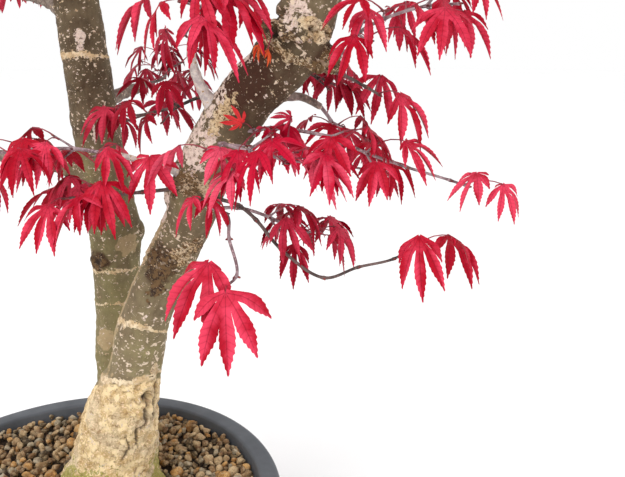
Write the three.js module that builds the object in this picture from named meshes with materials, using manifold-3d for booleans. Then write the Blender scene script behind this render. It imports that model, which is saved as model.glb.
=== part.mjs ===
// A Japanese maple grown as a twin-trunk bonsai in a round plastic training pot.
// Two trunks rise from one root flare: the near one sweeps up to the right, and the far one
// stands upright behind it. Boughs carry open sprays of twigs, and every twig ends in an
// opposite pair of palmate leaves that hang from thin stalks.
//
// Units are millimetres. +X is right, +Y is back, +Z is up, and the origin is the centre of the
// pot's underside. Bearings turn from +X towards +Y, and a rise is measured from the level.
import * as THREE from "three";
import { mergeVertices } from "three/addons/utils/BufferGeometryUtils.js";
import Module from "manifold-3d";

const wasm = await Module();
wasm.setup();

// --- Driving dimensions ---------------------------------------------------------------------

const GAP = 0.3; // clearance between pieces that touch
const KEEP_OFF = 1; // clearance between a leaf or twig and everything that isn't its own spray

const POT = {
  height: 135,
  foot: 106,
  mouth: 135,
  rim: 150,
  lip: 13,
  wall: 3.2,
  floor: 5,
  round: 2.5,
  sides: 40,
};
const DRAIN = { count: 6, radius: 6, circle: 68, sides: 12 };
const SOIL = { top: POT.height - 5.5, flat: 60, dip: 3, rings: 4, sides: 20, seed: 11 };
const PEBBLES = { count: 64, sizes: [4, 6.5], sunk: 0.3, squash: 0.75, turn: 137.5 };

// Limbs are faceted: the sides of their cross-sections, and how many of these each step has.
const TRUNK = { sides: 14, perStep: 2 };
const BOUGH = { sides: 6, perStep: 1 };
const TWIG = { sides: 3, perStep: 1 };
const STUB_SIDES = 8;
const TWIG_RADII = { stem: 1.9, stemTip: 1, side: 1.1, sideTip: 0.75 };

// A walk is a list of steps, each [length, bearing, rise, radius at its end].
// A stub is the healed end of a cut limb: [height, bearing, rise, length from the axis, radius].
const TRUNKS = [
  {
    name: "trunk_main",
    foot: [22, 20],
    radius: 30.4,
    flare: { spread: 0.3, height: 16, flutes: 5, depth: 0.09, turn: 20 },
    walk: [
      [61.3, 0, 79, 26.5],
      [41, 0, 73.5, 20.2],
      [37, -11, 73, 17],
      [83, -9, 64, 15.6],
      [37, -17, 69, 17.6],
      [52, -16, 56, 16.8],
      [45, -11, 45, 16],
      [25, 0, 69, 15.6],
      [48, 22, 77, 14],
      [56, 135, 81, 10.5],
      [42, 160, 72, 5.5],
    ],
    stubs: [
      [352, 160, 10, 20, 9],
      [372, 350, 5, 22, 7],
      [440, -2, 0, 31, 8],
      [456, 255, 10, 21, 9],
      [464, 200, 20, 19, 6],
    ],
  },
  {
    name: "trunk_back",
    foot: [17, 82],
    radius: 20.7,
    flare: { spread: 0.22, height: 14, flutes: 4, depth: 0.08, turn: 60 },
    walk: [
      [70.5, 0, 89, 18.5],
      [62, 0, 88, 17.2],
      [54, 0, 88, 18.8],
      [60, 180, 84, 17.2],
      [84, 178, 86, 15],
      [64, 190, 83, 13.6],
      [60, 200, 78, 10.5],
      [56, 150, 74, 5],
    ],
    stubs: [
      [310, 20, 5, 21, 8],
      [420, 250, 15, 19, 7],
    ],
  },
];

// A bough leaves its trunk's axis at a height above the pot's underside.
const BOUGHS = [
  {
    name: "bough_left_low", on: "trunk_main", height: 367, radius: 6,
    walk: [[34, 212, 20, 4], [20, 204, 20, 3]],
  },
  {
    name: "bough_fork", on: "trunk_main", height: 402, radius: 8,
    walk: [[23, 201, 50, 6], [27, 229, 70, 4.8], [24, 319, 67, 3.6]],
  },
  {
    name: "bough_hook", on: "trunk_main", height: 405, radius: 4.4,
    walk: [[33, 46, 14, 3.6], [19, 21, 6, 3.1], [17, 23, -26, 2.6]],
  },
  {
    name: "bough_right_back", on: "trunk_main", height: 486, radius: 7,
    walk: [[38, 70, 30, 5], [30, 50, 18, 3.8], [20, 62, 8, 3]],
  },
  {
    name: "bough_right_high", on: "trunk_main", height: 505, radius: 7,
    walk: [[38, -8, 34, 5.2], [28, 6, 14, 3.9], [18, -10, 6, 3]],
  },
  {
    name: "bough_right_front", on: "trunk_main", height: 530, radius: 6.5,
    walk: [[38, -62, 36, 4.8], [30, -76, 16, 3.7], [18, -55, 6, 2.9]],
  },
  {
    name: "bough_inner_front", on: "trunk_main", height: 556, radius: 5.6,
    walk: [[34, 224, 38, 4.2], [30, 206, 22, 3.3], [16, 220, 10, 2.7]],
  },
  {
    name: "bough_right_top", on: "trunk_main", height: 580, radius: 5,
    walk: [[32, 30, 42, 3.8], [26, 12, 30, 2.8]],
  },
  {
    name: "bough_left_back_low", on: "trunk_back", height: 352, radius: 7.5,
    walk: [[44, 190, 18, 5.6], [36, 176, 6, 4.2], [24, 190, 10, 3.1]],
  },
  {
    name: "bough_back_low", on: "trunk_back", height: 390, radius: 7,
    walk: [[42, 86, 22, 5.2], [32, 66, 10, 4], [20, 86, 5, 3]],
  },
  {
    name: "bough_left_front", on: "trunk_back", height: 486, radius: 7,
    walk: [[44, 222, 24, 5.2], [36, 208, 10, 4], [22, 228, 5, 3]],
  },
  {
    name: "bough_back_left", on: "trunk_back", height: 456, radius: 6.8,
    walk: [[44, 136, 26, 5], [36, 150, 12, 3.8], [22, 134, 6, 2.9]],
  },
  {
    name: "bough_back_right", on: "trunk_back", height: 503, radius: 6.2,
    walk: [[42, 52, 30, 4.8], [34, 36, 16, 3.7], [20, 50, 8, 2.8]],
  },
  {
    name: "bough_front", on: "trunk_back", height: 530, radius: 5.8,
    walk: [[42, 272, 32, 4.4], [34, 290, 16, 3.5], [18, 272, 8, 2.7]],
  },
  {
    name: "bough_left_high", on: "trunk_back", height: 552, radius: 5.8,
    walk: [[42, 184, 30, 4.4], [36, 196, 14, 3.5], [20, 182, 6, 2.7]],
  },
  {
    name: "bough_back_high", on: "trunk_back", height: 584, radius: 5,
    walk: [[38, 104, 40, 3.8], [32, 92, 22, 2.7]],
  },
  {
    name: "bough_crown_right", on: "trunk_back", height: 606, radius: 4.6,
    walk: [[36, 8, 40, 3.6], [30, -12, 24, 2.7]],
  },
];

// A spray is one mass of foliage. Its stem leaves a trunk's axis at a height, or a limb's tip.
// Side twigs leave in pairs at the end of each step but the last, with the length given for it.
const SPRAYS = [
  {
    name: "spray_left_low", on: "bough_left_low",
    stem: [[7, 184, 6], [20, 178, 8], [24, 188, 0], [24, 180, -6], [18, 176, -6]],
    sides: [12, 14, 18, 18],
  },
  {
    name: "spray_left_front", on: "trunk_main", height: 361,
    stem: [[40, 222, 3], [22, 204, 0], [24, 184, -3]], sides: [0, 12], leaf: 1.15,
  },
  {
    name: "spray_front", on: "trunk_main", height: 388,
    stem: [[34, -75, 9], [18, -38, -6], [18, -8, -12], [16, 8, -12]], sides: [14, 14, 12],
  },
  {
    name: "spray_hanging", on: "trunk_main", height: 349,
    stem: [[32, -44, -2], [30, -80, -14], [30, -76, -28], [10, -150, -34]], sides: [0, 0, 0], leaf: 1.25,
  },
  {
    name: "spray_reach", on: "trunk_main", height: 355,
    stem: [[36, -36, -3], [14, -20, -35], [24, -18, -47], [31, -11, -32],
      [22, 0, 18], [22, 0, 14], [22, -30, 38]], sides: [0, 0, 0, 0, 0, 0],
  },
  {
    name: "spray_inner", on: "trunk_main", height: 343,
    stem: [[32, -14, 9], [21, -3, -16], [22, 16, -30], [15, 4, 0]], sides: [0, 10, 10],
  },
  {
    name: "spray_arch", on: "trunk_main", height: 397,
    stem: [[25, -40, 5], [11, -20, 10], [35, -3, -8], [24, 5, -24],
      [26, 5, -20], [28, 1, -17], [12, -35, -12]], sides: [0, 0, 12, 10, 0, 0],
  },
  {
    name: "spray_hook", on: "bough_hook",
    stem: [[12, 30, -52], [22, 50, -70], [16, 15, -46], [12, -5, -10]], sides: [10, 14, 0],
  },
  {
    name: "spray_behind", on: "trunk_main", height: 432,
    stem: [[36, 76, 4], [20, 40, -16], [18, 18, -24]], sides: [16, 14],
  },
  {
    name: "spray_burr_up", on: "trunk_main", height: 440,
    stem: [[35, -9, 7], [14, -46, 46], [18, -34, 26], [24, -14, 16], [18, 6, 4]],
    sides: [0, 12, 16, 14],
  },
  {
    name: "spray_burr_out", on: "trunk_main", height: 440,
    stem: [[31, 7, -14], [20, 10, -26], [10, 4, -30]], sides: [0, 0], leaf: 1.15,
  },
  {
    name: "spray_fork", on: "bough_fork",
    stem: [[14, 285, 6], [14, 262, -20], [12, 250, -24]], sides: [14, 12],
  },
  {
    name: "spray_back_twig", on: "trunk_main", height: 413,
    stem: [[36, 142, 4], [16, 186, -20], [24, 156, -14], [20, 166, -18]], sides: [0, 14, 14],
  },
  {
    name: "spray_elbow", on: "trunk_main", height: 358,
    stem: [[24, -76, -4], [10, -72, 0]], sides: [0], leaf: 0.9,
  },
];

// A bough with no spray above carries one that runs on from its tip, and so does each trunk.
// Its leaves are a little larger, because each stands for more of them.
const ONWARD = { steps: 3, length: 23, side: 22, sway: 24, lift: [-2, 18], leaf: 1.2, seed: 301 };

// Side twigs leave their stem level at one node and upright at the next.
const LEVEL_PAIR = { swing: 56, lift: 4 };
const UPRIGHT_PAIR = { swing: 22, lift: 38 };
const JITTER = 9; // degrees

const LEAF = {
  length: 31, // from the stalk's joint to the tip of the middle lobe
  lobes: [[-98, 0.5], [-47, 0.87], [0, 1], [47, 0.87], [98, 0.5]],
  notch: [0.3, 0.36], // between the outer lobes and between the inner ones
  thick: 1.8,
  droop: 0.5, // how far a lobe's tip falls out of the blade's plane, of its reach squared
  collar: [16, 0.13], // where the stalk widens into the blade: bearing off the stalk, and reach
  stalk: [17, 22],
  spread: 64, // a pair's bearings to each side of its twig
  lift: [-2, 34], // the stalk's rise
  hang: [-52, -28], // the blade's rise where the stalk joins it
  veer: 14,
  sizes: [0.82, 1.1],
  sinks: [1.2, 3.4], // how far the two roots of a pair sit back from a twig's end
};

const COLOURS = {
  pot: 0x4b4e55,
  soil: 0x9a7a52,
  bark: 0x6f6a4d,
  leaves: [0xc4152f, 0xa81031, 0xd62a44, 0xb8142a],
};

// --- Seeded numbers -------------------------------------------------------------------------

// A repeatable source of numbers from 0 to 1.
function seeded(seed) {
  let state = seed;
  return () => {
    state = (state * 16807) % 2147483647;
    return state / 2147483647;
  };
}

function between(random, low, high) {
  return low + (high - low) * random();
}

// --- Solids ---------------------------------------------------------------------------------

// A closed geometry as a solid. Faces that have shrunk to a line at an axis are left out.
function solidOf(geometry) {
  geometry.deleteAttribute("normal");
  geometry.deleteAttribute("uv");
  const merged = mergeVertices(geometry, 1e-4);
  const corners = merged.index.array;
  const faces = [];
  for (let i = 0; i < corners.length; i += 3) {
    const [a, b, c] = corners.subarray(i, i + 3);
    if (a !== b && b !== c && c !== a) {
      faces.push(a, b, c);
    }
  }
  const vertProperties = merged.attributes.position.array;
  const triVerts = new Uint32Array(faces);
  return new wasm.Manifold(new wasm.Mesh({ numProp: 3, vertProperties, triVerts }));
}

function geometryOf(solid) {
  const mesh = solid.getMesh();
  const geometry = new THREE.BufferGeometry();
  geometry.setAttribute("position", new THREE.BufferAttribute(mesh.vertProperties, 3));
  geometry.setIndex(new THREE.BufferAttribute(mesh.triVerts, 1));
  geometry.computeVertexNormals();
  return geometry;
}

// The largest separate piece of a solid, without loose scraps or the inside of a sealed hollow.
function mainPiece(solid) {
  const pieces = solid.decompose().filter((piece) => piece.volume() > 0);
  return pieces.reduce((largest, piece) => (piece.volume() > largest.volume() ? piece : largest));
}

// --- Limbs ----------------------------------------------------------------------------------

function heading(bearing, rise) {
  const turn = THREE.MathUtils.degToRad(bearing);
  const climb = THREE.MathUtils.degToRad(rise);
  const level = Math.cos(climb);
  return new THREE.Vector3(level * Math.cos(turn), level * Math.sin(turn), Math.sin(climb));
}

function bearingOf(direction) {
  return THREE.MathUtils.radToDeg(Math.atan2(direction.y, direction.x));
}

function riseOf(direction) {
  return THREE.MathUtils.radToDeg(Math.asin(direction.z / direction.length()));
}

// A limb is a smooth curve through the ends of its steps, with the radius at each.
function limbFrom(start, radius, walk) {
  const points = [start.clone()];
  const radii = [radius];
  for (const [length, bearing, rise, end] of walk) {
    points.push(points.at(-1).clone().addScaledVector(heading(bearing, rise), length));
    radii.push(end);
  }
  return { curve: new THREE.CatmullRomCurve3(points), points, radii };
}

// Cross-sections along a limb, each with its centre, radius and two directions across it.
// Their directions turn no more than the curve does, so the skin doesn't twist.
function sections(limb, perStep) {
  const steps = limb.points.length - 1;
  let along = limb.curve.getTangent(0);
  let across = new THREE.Vector3(along.y, -along.x, 0);
  across = across.lengthSq() < 1e-6 ? new THREE.Vector3(1, 0, 0) : across.normalize();
  return Array.from({ length: steps * perStep + 1 }, (_, ring) => {
    const step = Math.min(steps - 1, Math.floor(ring / perStep));
    const radius = THREE.MathUtils.lerp(limb.radii[step], limb.radii[step + 1], ring / perStep - step);
    const tangent = limb.curve.getTangent(ring / perStep / steps);
    across = across.clone().applyQuaternion(new THREE.Quaternion().setFromUnitVectors(along, tangent));
    along = tangent;
    const centre = limb.curve.getPoint(ring / perStep / steps);
    return { centre, radius, across, over: across.clone().cross(along) };
  });
}

function pointAtHeight(limb, height) {
  let share = 0;
  while (share < 1 && limb.curve.getPoint(share).z < height) {
    share += 0.001;
  }
  return limb.curve.getPoint(share);
}

// Root flare: the foot spreads and is fluted, less and less up to the flare's height.
function flareFactor(flare, height, bearing) {
  if (!flare) {
    return 1;
  }
  const fade = Math.exp(-Math.max(0, height) / flare.height);
  const flutes = Math.cos(THREE.MathUtils.degToRad(flare.flutes * (bearing - flare.turn)));
  return 1 + fade * (flare.spread + flare.depth * flutes);
}

// A cylinder bent along a limb's curve. A limb with a flare has a level foot.
function bend(limb, { sides, perStep = 1, extra = 0, flare = null }) {
  const rings = sections(limb, perStep);
  const geometry = new THREE.CylinderGeometry(1, 1, 1, sides, rings.length - 1);
  const position = geometry.attributes.position;
  const foot = limb.points[0].z;
  if (flare) {
    rings[0].across.setZ(0).normalize();
    rings[0].over.set(rings[0].across.y, -rings[0].across.x, 0);
  }
  for (let i = 0; i < position.count; i += 1) {
    const ring = Math.round((position.getY(i) + 0.5) * (rings.length - 1));
    const { centre, radius, across, over } = rings[ring];
    const offset = across.clone().multiplyScalar(position.getX(i)).addScaledVector(over, position.getZ(i));
    const reach = radius * flareFactor(flare, centre.z - foot, bearingOf(offset)) + extra;
    const point = centre.clone().addScaledVector(offset, reach);
    position.setXYZ(i, point.x, point.y, point.z);
  }
  return solidOf(geometry);
}

// A healed stub is a short limb with a rounded, slightly swollen end.
function stub(trunk, [height, bearing, rise, length, radius], extra) {
  const start = pointAtHeight(trunk, height);
  const neck = length - radius * 0.8;
  const knob = radius * 0.45;
  const walk = [
    [neck, bearing, rise, radius],
    [knob, bearing, rise, radius * 1.08],
    [radius * 0.35, bearing, rise, radius * 0.6],
  ];
  return bend(limbFrom(start, radius * 0.8, walk), { sides: STUB_SIDES, extra });
}

function trunkSolid(trunk, spec, extra = 0) {
  const stem = bend(trunk, { ...TRUNK, extra, flare: spec.flare });
  return wasm.Manifold.union([stem, ...spec.stubs.map((one) => stub(trunk, one, extra))]);
}

// --- Leaves ---------------------------------------------------------------------------------

// The blade's outline round its joint, from one side of the stalk to the other, as
// [bearing, reach]. The stalk's own bearing sets where the collar sits.
function leafOutline(stalkBearing) {
  const [collarTurn, collarReach] = LEAF.collar;
  const outline = [[stalkBearing + collarTurn, collarReach]];
  LEAF.lobes.forEach(([bearing, reach], i) => {
    if (i > 0) {
      const outer = i === 1 || i === LEAF.lobes.length - 1;
      outline.push([(bearing + LEAF.lobes[i - 1][0]) / 2, LEAF.notch[outer ? 0 : 1]]);
    }
    outline.push([bearing, reach]);
  });
  outline.push([stalkBearing - collarTurn, collarReach]);
  return outline;
}

// A leaf is a flattened double cone whose rim follows the outline and runs out along the stalk
// to the root. The blade hangs like a half-closed umbrella: its lobes droop towards their tips.
// The cone's points lean halfway between the blade and the stalk, so both have a thickness.
function leaf(root, joint, ahead, size) {
  const side = new THREE.Vector3(-ahead.y, ahead.x, 0).normalize();
  const face = new THREE.Vector3().crossVectors(ahead, side);
  const back = root.clone().sub(joint);
  const rootLocal = new THREE.Vector3(back.dot(ahead), back.dot(side), back.dot(face));
  const outline = leafOutline(bearingOf(rootLocal.clone().negate()) + 180);
  const lean = Math.atan2(-rootLocal.z, -rootLocal.x) / 2;
  const thickness = new THREE.Vector3(-Math.sin(lean), 0, Math.cos(lean)).multiplyScalar(LEAF.thick / 2);
  const segments = outline.length + 1;
  const geometry = new THREE.SphereGeometry(1, segments, 2);
  const position = geometry.attributes.position;
  const length = LEAF.length * size;
  for (let i = 0; i < position.count; i += 1) {
    const local = thickness.clone().multiplyScalar(position.getY(i));
    if (Math.abs(position.getY(i)) < 0.5) {
      const turn = Math.atan2(-position.getZ(i), position.getX(i)) / (2 * Math.PI);
      const corner = (Math.round(turn * segments) + segments) % segments;
      if (corner === 0) {
        local.copy(rootLocal);
      } else {
        const [bearing, reach] = outline[corner - 1];
        local.copy(heading(bearing, 0)).multiplyScalar(reach * length);
        local.z = -LEAF.droop * reach * reach * length;
      }
    }
    const point = joint.clone().addScaledVector(ahead, local.x).addScaledVector(side, local.y);
    point.addScaledVector(face, local.z);
    position.setXYZ(i, point.x, point.y, point.z);
  }
  return solidOf(geometry);
}

// --- Sprays ---------------------------------------------------------------------------------

// Two leaves at a twig's end, one to each side. The numbers are drawn whether or not a leaf
// is kept, so that each spray grows the same way whatever stands near it. With each leaf comes
// its blade alone, which is what has to hang free of the rest of the spray.
function leafPair(end, direction, scale, random) {
  return [-1, 1].map((hand, i) => {
    const bearing = bearingOf(direction) + hand * (LEAF.spread + between(random, -JITTER, JITTER));
    const stalk = heading(bearing, between(random, ...LEAF.lift));
    const node = end.clone().addScaledVector(direction, -LEAF.sinks[i]);
    const joint = node.clone().addScaledVector(stalk, between(random, ...LEAF.stalk));
    const veer = between(random, -LEAF.veer, LEAF.veer);
    const ahead = heading(bearing + veer, between(random, ...LEAF.hang));
    const size = scale * between(random, ...LEAF.sizes);
    const nearJoint = joint.clone().addScaledVector(stalk, -LEAF.length * 0.2);
    return { whole: leaf(node, joint, ahead, size), blade: leaf(nearJoint, joint, ahead, size) };
  });
}

// The pair of side twigs at a stem's node, as directions.
function sidePair(direction, upright, random) {
  const { swing, lift } = upright ? UPRIGHT_PAIR : LEVEL_PAIR;
  return [-1, 1].map((hand) => {
    const bearing = bearingOf(direction) + hand * (swing + between(random, -JITTER, JITTER));
    const rise = riseOf(direction) * 0.5 + hand * lift + between(random, -JITTER, JITTER);
    return heading(bearing, rise);
  });
}

// The stem's walk, with a seeded sway where it isn't given.
function onwardStem(direction, random) {
  const stem = [];
  let bearing = bearingOf(direction);
  let rise = Math.min(40, riseOf(direction));
  for (let i = 0; i < ONWARD.steps; i += 1) {
    bearing += between(random, -ONWARD.sway, ONWARD.sway);
    rise = rise * 0.6 + between(random, ...ONWARD.lift);
    stem.push([ONWARD.length, bearing, rise]);
  }
  return stem;
}

function touches(solid, others) {
  return others.some((other) => {
    const a = solid.boundingBox();
    const b = other.boundingBox();
    const apart = [0, 1, 2].some((k) => a.min[k] > b.max[k] + KEEP_OFF || b.min[k] > a.max[k] + KEEP_OFF);
    return !apart && solid.minGap(other, KEEP_OFF) < KEEP_OFF;
  });
}

// One mass of foliage: the stem, its side twigs, and leaf pairs at every twig's end.
function spray(stemLimb, sides, scale, random, stemSolid, others) {
  const kept = [stemSolid];
  const keep = (leaves) => {
    for (const { whole, blade } of leaves) {
      if (!touches(whole, others) && !touches(blade, kept)) {
        kept.push(whole);
      }
    }
  };
  const { points } = stemLimb;
  points.slice(1).forEach((end, i) => {
    const direction = end.clone().sub(points[i]).normalize();
    if (i === points.length - 2) {
      keep(leafPair(end, direction, scale, random));
    } else if (sides[i] > 0) {
      for (const way of sidePair(direction, i % 2 === 1, random)) {
        const reach = sides[i] * between(random, 0.85, 1.2);
        const walk = [[reach, bearingOf(way), riseOf(way), TWIG_RADII.sideTip]];
        const twig = bend(limbFrom(end, TWIG_RADII.side, walk), TWIG);
        const leaves = leafPair(end.clone().addScaledVector(way, reach), way, scale, random);
        if (!touches(twig, others)) {
          kept.push(twig);
          keep(leaves);
        }
      }
    }
  });
  return mainPiece(wasm.Manifold.union(kept));
}

// --- Pot and soil ---------------------------------------------------------------------------

function turned(profile, sides) {
  const points = profile.map(([radius, height]) => new THREE.Vector2(radius, height));
  return new THREE.LatheGeometry(points, sides).rotateX(Math.PI / 2);
}

// The radius of the pot's inner wall at a height above its floor.
function innerRadius(height) {
  const share = (height - POT.floor) / (POT.height - POT.floor);
  return THREE.MathUtils.lerp(POT.foot - POT.wall, POT.mouth, share);
}

function potSolid() {
  const { height, foot, mouth, rim, lip, wall, floor, round } = POT;
  const profile = [
    [0, 0],
    [foot - round, 0],
    [foot, round],
    [mouth + wall, height - lip],
    [mouth + wall, height - wall],
    [rim - wall, height - wall],
    [rim - wall, height - lip],
    [rim, height - lip],
    [rim, height - round],
    [rim - round, height],
    [mouth + round / 2, height],
    [mouth, height - round / 2],
    [foot - wall, floor],
    [0, floor],
  ];
  const shell = solidOf(turned(profile, POT.sides));
  const drains = Array.from({ length: DRAIN.count }, (_, i) => {
    const turn = (2 * Math.PI * (i + 0.5)) / DRAIN.count;
    const hole = new THREE.CylinderGeometry(DRAIN.radius, DRAIN.radius, 4 * floor, DRAIN.sides);
    hole.rotateX(Math.PI / 2).translate(DRAIN.circle * Math.cos(turn), DRAIN.circle * Math.sin(turn), 0);
    return solidOf(hole);
  });
  return shell.subtract(wasm.Manifold.union(drains));
}

// The larger pebbles that stand out of the soil, spread evenly by turning through the same
// angle from each to the next, and left out round the trunks' feet.
function pebbles(reach) {
  const { count, sizes, sunk, squash, turn } = PEBBLES;
  const random = seeded(SOIL.seed);
  const placed = Array.from({ length: count }, (_, i) => {
    const distance = reach * Math.sqrt((i + 0.5) / count);
    const spot = heading(turn * i + between(random, -JITTER, JITTER), 0).multiplyScalar(distance);
    return { spot, size: between(random, ...sizes), tilt: Math.PI * random() };
  });
  const clear = placed.filter(({ spot, size }) => TRUNKS.every(({ foot: [x, y], radius, flare }) => (
    Math.hypot(spot.x - x, spot.y - y) > radius * (1 + flare.spread + flare.depth) + size + KEEP_OFF
  )));
  return clear.map(({ spot, size, tilt }) => {
    const pebble = new THREE.IcosahedronGeometry(size, 0).rotateX(tilt).rotateZ(2 * tilt);
    return solidOf(pebble.scale(1, 1, squash).translate(spot.x, spot.y, SOIL.top - sunk * size));
  });
}

// The soil fills the pot. Its top is level where the trunks stand, and dips between there
// and the wall.
function soilSolid() {
  const { top, flat, dip, rings, sides, seed } = SOIL;
  const edge = innerRadius(top) - 2 * GAP;
  const profile = [[0, POT.floor + GAP], [POT.foot - POT.wall - 2 * GAP, POT.floor + GAP], [edge, top]];
  for (let i = 1; i <= rings; i += 1) {
    profile.push([THREE.MathUtils.lerp(edge, flat, i / rings), top]);
  }
  profile.push([0, top]);
  const geometry = turned(profile, sides);
  const position = geometry.attributes.position;
  const random = seeded(seed);
  const dips = new Map();
  for (let i = 0; i < position.count; i += 1) {
    const [x, y, z] = [position.getX(i), position.getY(i), position.getZ(i)];
    if (z > top - 1 && Math.hypot(x, y) > flat + 1) {
      const spot = `${Math.round(x)},${Math.round(y)}`;
      if (!dips.has(spot)) {
        dips.set(spot, dip * random());
      }
      position.setZ(i, z - dips.get(spot));
    }
  }
  return wasm.Manifold.union([solidOf(geometry), ...pebbles(edge - PEBBLES.sizes[1])]);
}

// --- Assembly -------------------------------------------------------------------------------

const maple = new THREE.Group();
maple.name = "japanese_maple_bonsai";

function add(name, solid, color, roughness) {
  const material = new THREE.MeshStandardMaterial({ color, roughness, metalness: 0, flatShading: true });
  const mesh = new THREE.Mesh(geometryOf(solid), material);
  mesh.name = name;
  maple.add(mesh);
}

add("pot", potSolid(), COLOURS.pot, 0.55);
add("soil", soilSolid(), COLOURS.soil, 0.95);

const limbs = new Map(); // name to limb
const grown = new Map(); // name to the limb's solid with the clearance added
const standing = []; // every solid that a leaf or twig keeps off

TRUNKS.forEach((spec, i) => {
  const [x, y] = spec.foot;
  const limb = limbFrom(new THREE.Vector3(x, y, SOIL.top + GAP), spec.radius, spec.walk);
  let solid = trunkSolid(limb, spec);
  if (i > 0) {
    solid = mainPiece(solid.subtract(grown.get(TRUNKS[0].name)));
  }
  limbs.set(spec.name, limb);
  grown.set(spec.name, trunkSolid(limb, spec, GAP));
  standing.push(solid);
  add(spec.name, solid, COLOURS.bark, 0.85);
});

// A limb or stem starts on a trunk's axis, or at a tip, and is trimmed to stand clear of it.
function startOn({ on, height }) {
  const carrier = limbs.get(on);
  return height ? pointAtHeight(carrier, height) : carrier.points.at(-1);
}

for (const spec of BOUGHS) {
  const limb = limbFrom(startOn(spec), spec.radius, spec.walk);
  const solid = mainPiece(bend(limb, BOUGH).subtract(grown.get(spec.on)));
  limbs.set(spec.name, limb);
  grown.set(spec.name, bend(limb, { ...BOUGH, extra: GAP }));
  standing.push(solid);
  add(spec.name, solid, COLOURS.bark, 0.85);
}

// Boughs and trunks that no listed spray sits on carry one that runs on from their tip.
const seated = SPRAYS.filter(({ height }) => !height).map(({ on }) => on);
const bare = [...TRUNKS, ...BOUGHS].filter(({ name }) => !seated.includes(name));
const onward = bare.map(({ name }) => ({ name: name.replace(/^(bough|trunk)/, "spray_on"), on: name }));

// All the stems come first, so that every leaf and side twig can keep off them.
const stems = [...SPRAYS, ...onward].map((spec, i) => {
  const random = seeded(ONWARD.seed + 97 * i);
  const stem = spec.stem ?? onwardStem(limbs.get(spec.on).curve.getTangent(1), random);
  const sides = spec.sides ?? stem.slice(1).map(() => ONWARD.side);
  const walk = stem.map(([length, bearing, rise], step) => {
    const share = (step + 1) / stem.length;
    return [length, bearing, rise, THREE.MathUtils.lerp(TWIG_RADII.stem, TWIG_RADII.stemTip, share)];
  });
  const limb = limbFrom(startOn(spec), TWIG_RADII.stem, walk);
  const solid = mainPiece(bend(limb, TWIG).subtract(grown.get(spec.on)));
  const scale = spec.leaf ?? (spec.stem ? 1 : ONWARD.leaf);
  return { name: spec.name, limb, sides, scale, random, solid };
});

stems.forEach(({ name, limb, sides, scale, random, solid: stem }, i) => {
  const others = [...standing, ...stems.slice(i + 1).map(({ solid }) => solid)];
  const solid = spray(limb, sides, scale, random, stem, others);
  standing.push(solid);
  add(name, solid, COLOURS.leaves[i % COLOURS.leaves.length], 0.6);
});

export default maple;
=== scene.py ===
import math

import bmesh
import bpy
import numpy as np
from mathutils import Matrix, Vector


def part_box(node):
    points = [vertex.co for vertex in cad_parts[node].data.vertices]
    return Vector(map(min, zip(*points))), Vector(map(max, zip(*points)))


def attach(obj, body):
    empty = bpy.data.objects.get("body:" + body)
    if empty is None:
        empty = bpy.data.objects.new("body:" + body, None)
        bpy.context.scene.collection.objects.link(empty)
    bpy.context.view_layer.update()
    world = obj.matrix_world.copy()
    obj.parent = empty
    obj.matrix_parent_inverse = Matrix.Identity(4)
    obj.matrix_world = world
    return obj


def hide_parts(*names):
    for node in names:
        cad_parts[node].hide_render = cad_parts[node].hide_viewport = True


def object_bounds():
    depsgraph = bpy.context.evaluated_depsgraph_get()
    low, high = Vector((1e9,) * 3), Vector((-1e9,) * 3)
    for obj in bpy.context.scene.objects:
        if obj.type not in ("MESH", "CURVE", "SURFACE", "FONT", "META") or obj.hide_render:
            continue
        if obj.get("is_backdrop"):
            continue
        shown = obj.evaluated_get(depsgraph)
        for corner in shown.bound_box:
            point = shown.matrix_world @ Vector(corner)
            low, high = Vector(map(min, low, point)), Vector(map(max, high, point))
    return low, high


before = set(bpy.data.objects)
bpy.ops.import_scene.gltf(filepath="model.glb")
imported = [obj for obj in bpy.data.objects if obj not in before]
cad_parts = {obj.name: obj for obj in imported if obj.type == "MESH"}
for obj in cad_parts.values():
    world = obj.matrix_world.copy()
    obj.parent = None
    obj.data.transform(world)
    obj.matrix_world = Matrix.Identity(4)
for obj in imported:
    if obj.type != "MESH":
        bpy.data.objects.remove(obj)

cad_box = [list(corner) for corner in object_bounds()]

# --- Pot ------------------------------------------------------------------------------------
# A round training pot, moulded in dark grey plastic, with a rolled rim to lift it by and six
# drain holes in its floor. The mould leaves a matt grain, which use has scuffed a little.

MM = 0.001
POT_FOOT = 106
POT_MOUTH = 135
POT_LIP = 13
POT_WALL = 3.2
POT_FLOOR = 5
POT_STEPS = 160
DRAIN_COUNT = 6
DRAIN_RADIUS = 6
DRAIN_CIRCLE = 68
SHARP_ANGLE = 38


class Value:
    """A number on its way through a material. Arithmetic on it adds the nodes that do it."""

    def __init__(self, finish, socket):
        self.finish = finish
        self.socket = socket

    def maths(self, operation, *terms):
        return self.finish.node("ShaderNodeMath", {"operation": operation}, dict(enumerate(terms)))

    def __add__(self, other):
        return self.maths("ADD", self, other)

    def __sub__(self, other):
        return self.maths("SUBTRACT", self, other)

    def __rsub__(self, other):
        return self.maths("SUBTRACT", other, self)

    def __mul__(self, other):
        return self.maths("MULTIPLY", self, other)

    __radd__ = __add__
    __rmul__ = __mul__

    def above(self, edge, blur):
        """0 below the edge and 1 above it, with a soft step between."""
        limits = {"From Min": edge - blur, "From Max": edge + blur}
        return self.finish.node(
            "ShaderNodeMapRange", {"interpolation_type": "SMOOTHSTEP"}, {"Value": self, **limits}
        )


def tone(red, green, blue):
    """A colour as the eye reads it, 0 to 255, turned into the light that a surface reflects."""
    shares = [level / 255 for level in (red, green, blue)]
    return [((s + 0.055) / 1.055) ** 2.4 if s > 0.04045 else s / 12.92 for s in shares] + [1]


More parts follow.
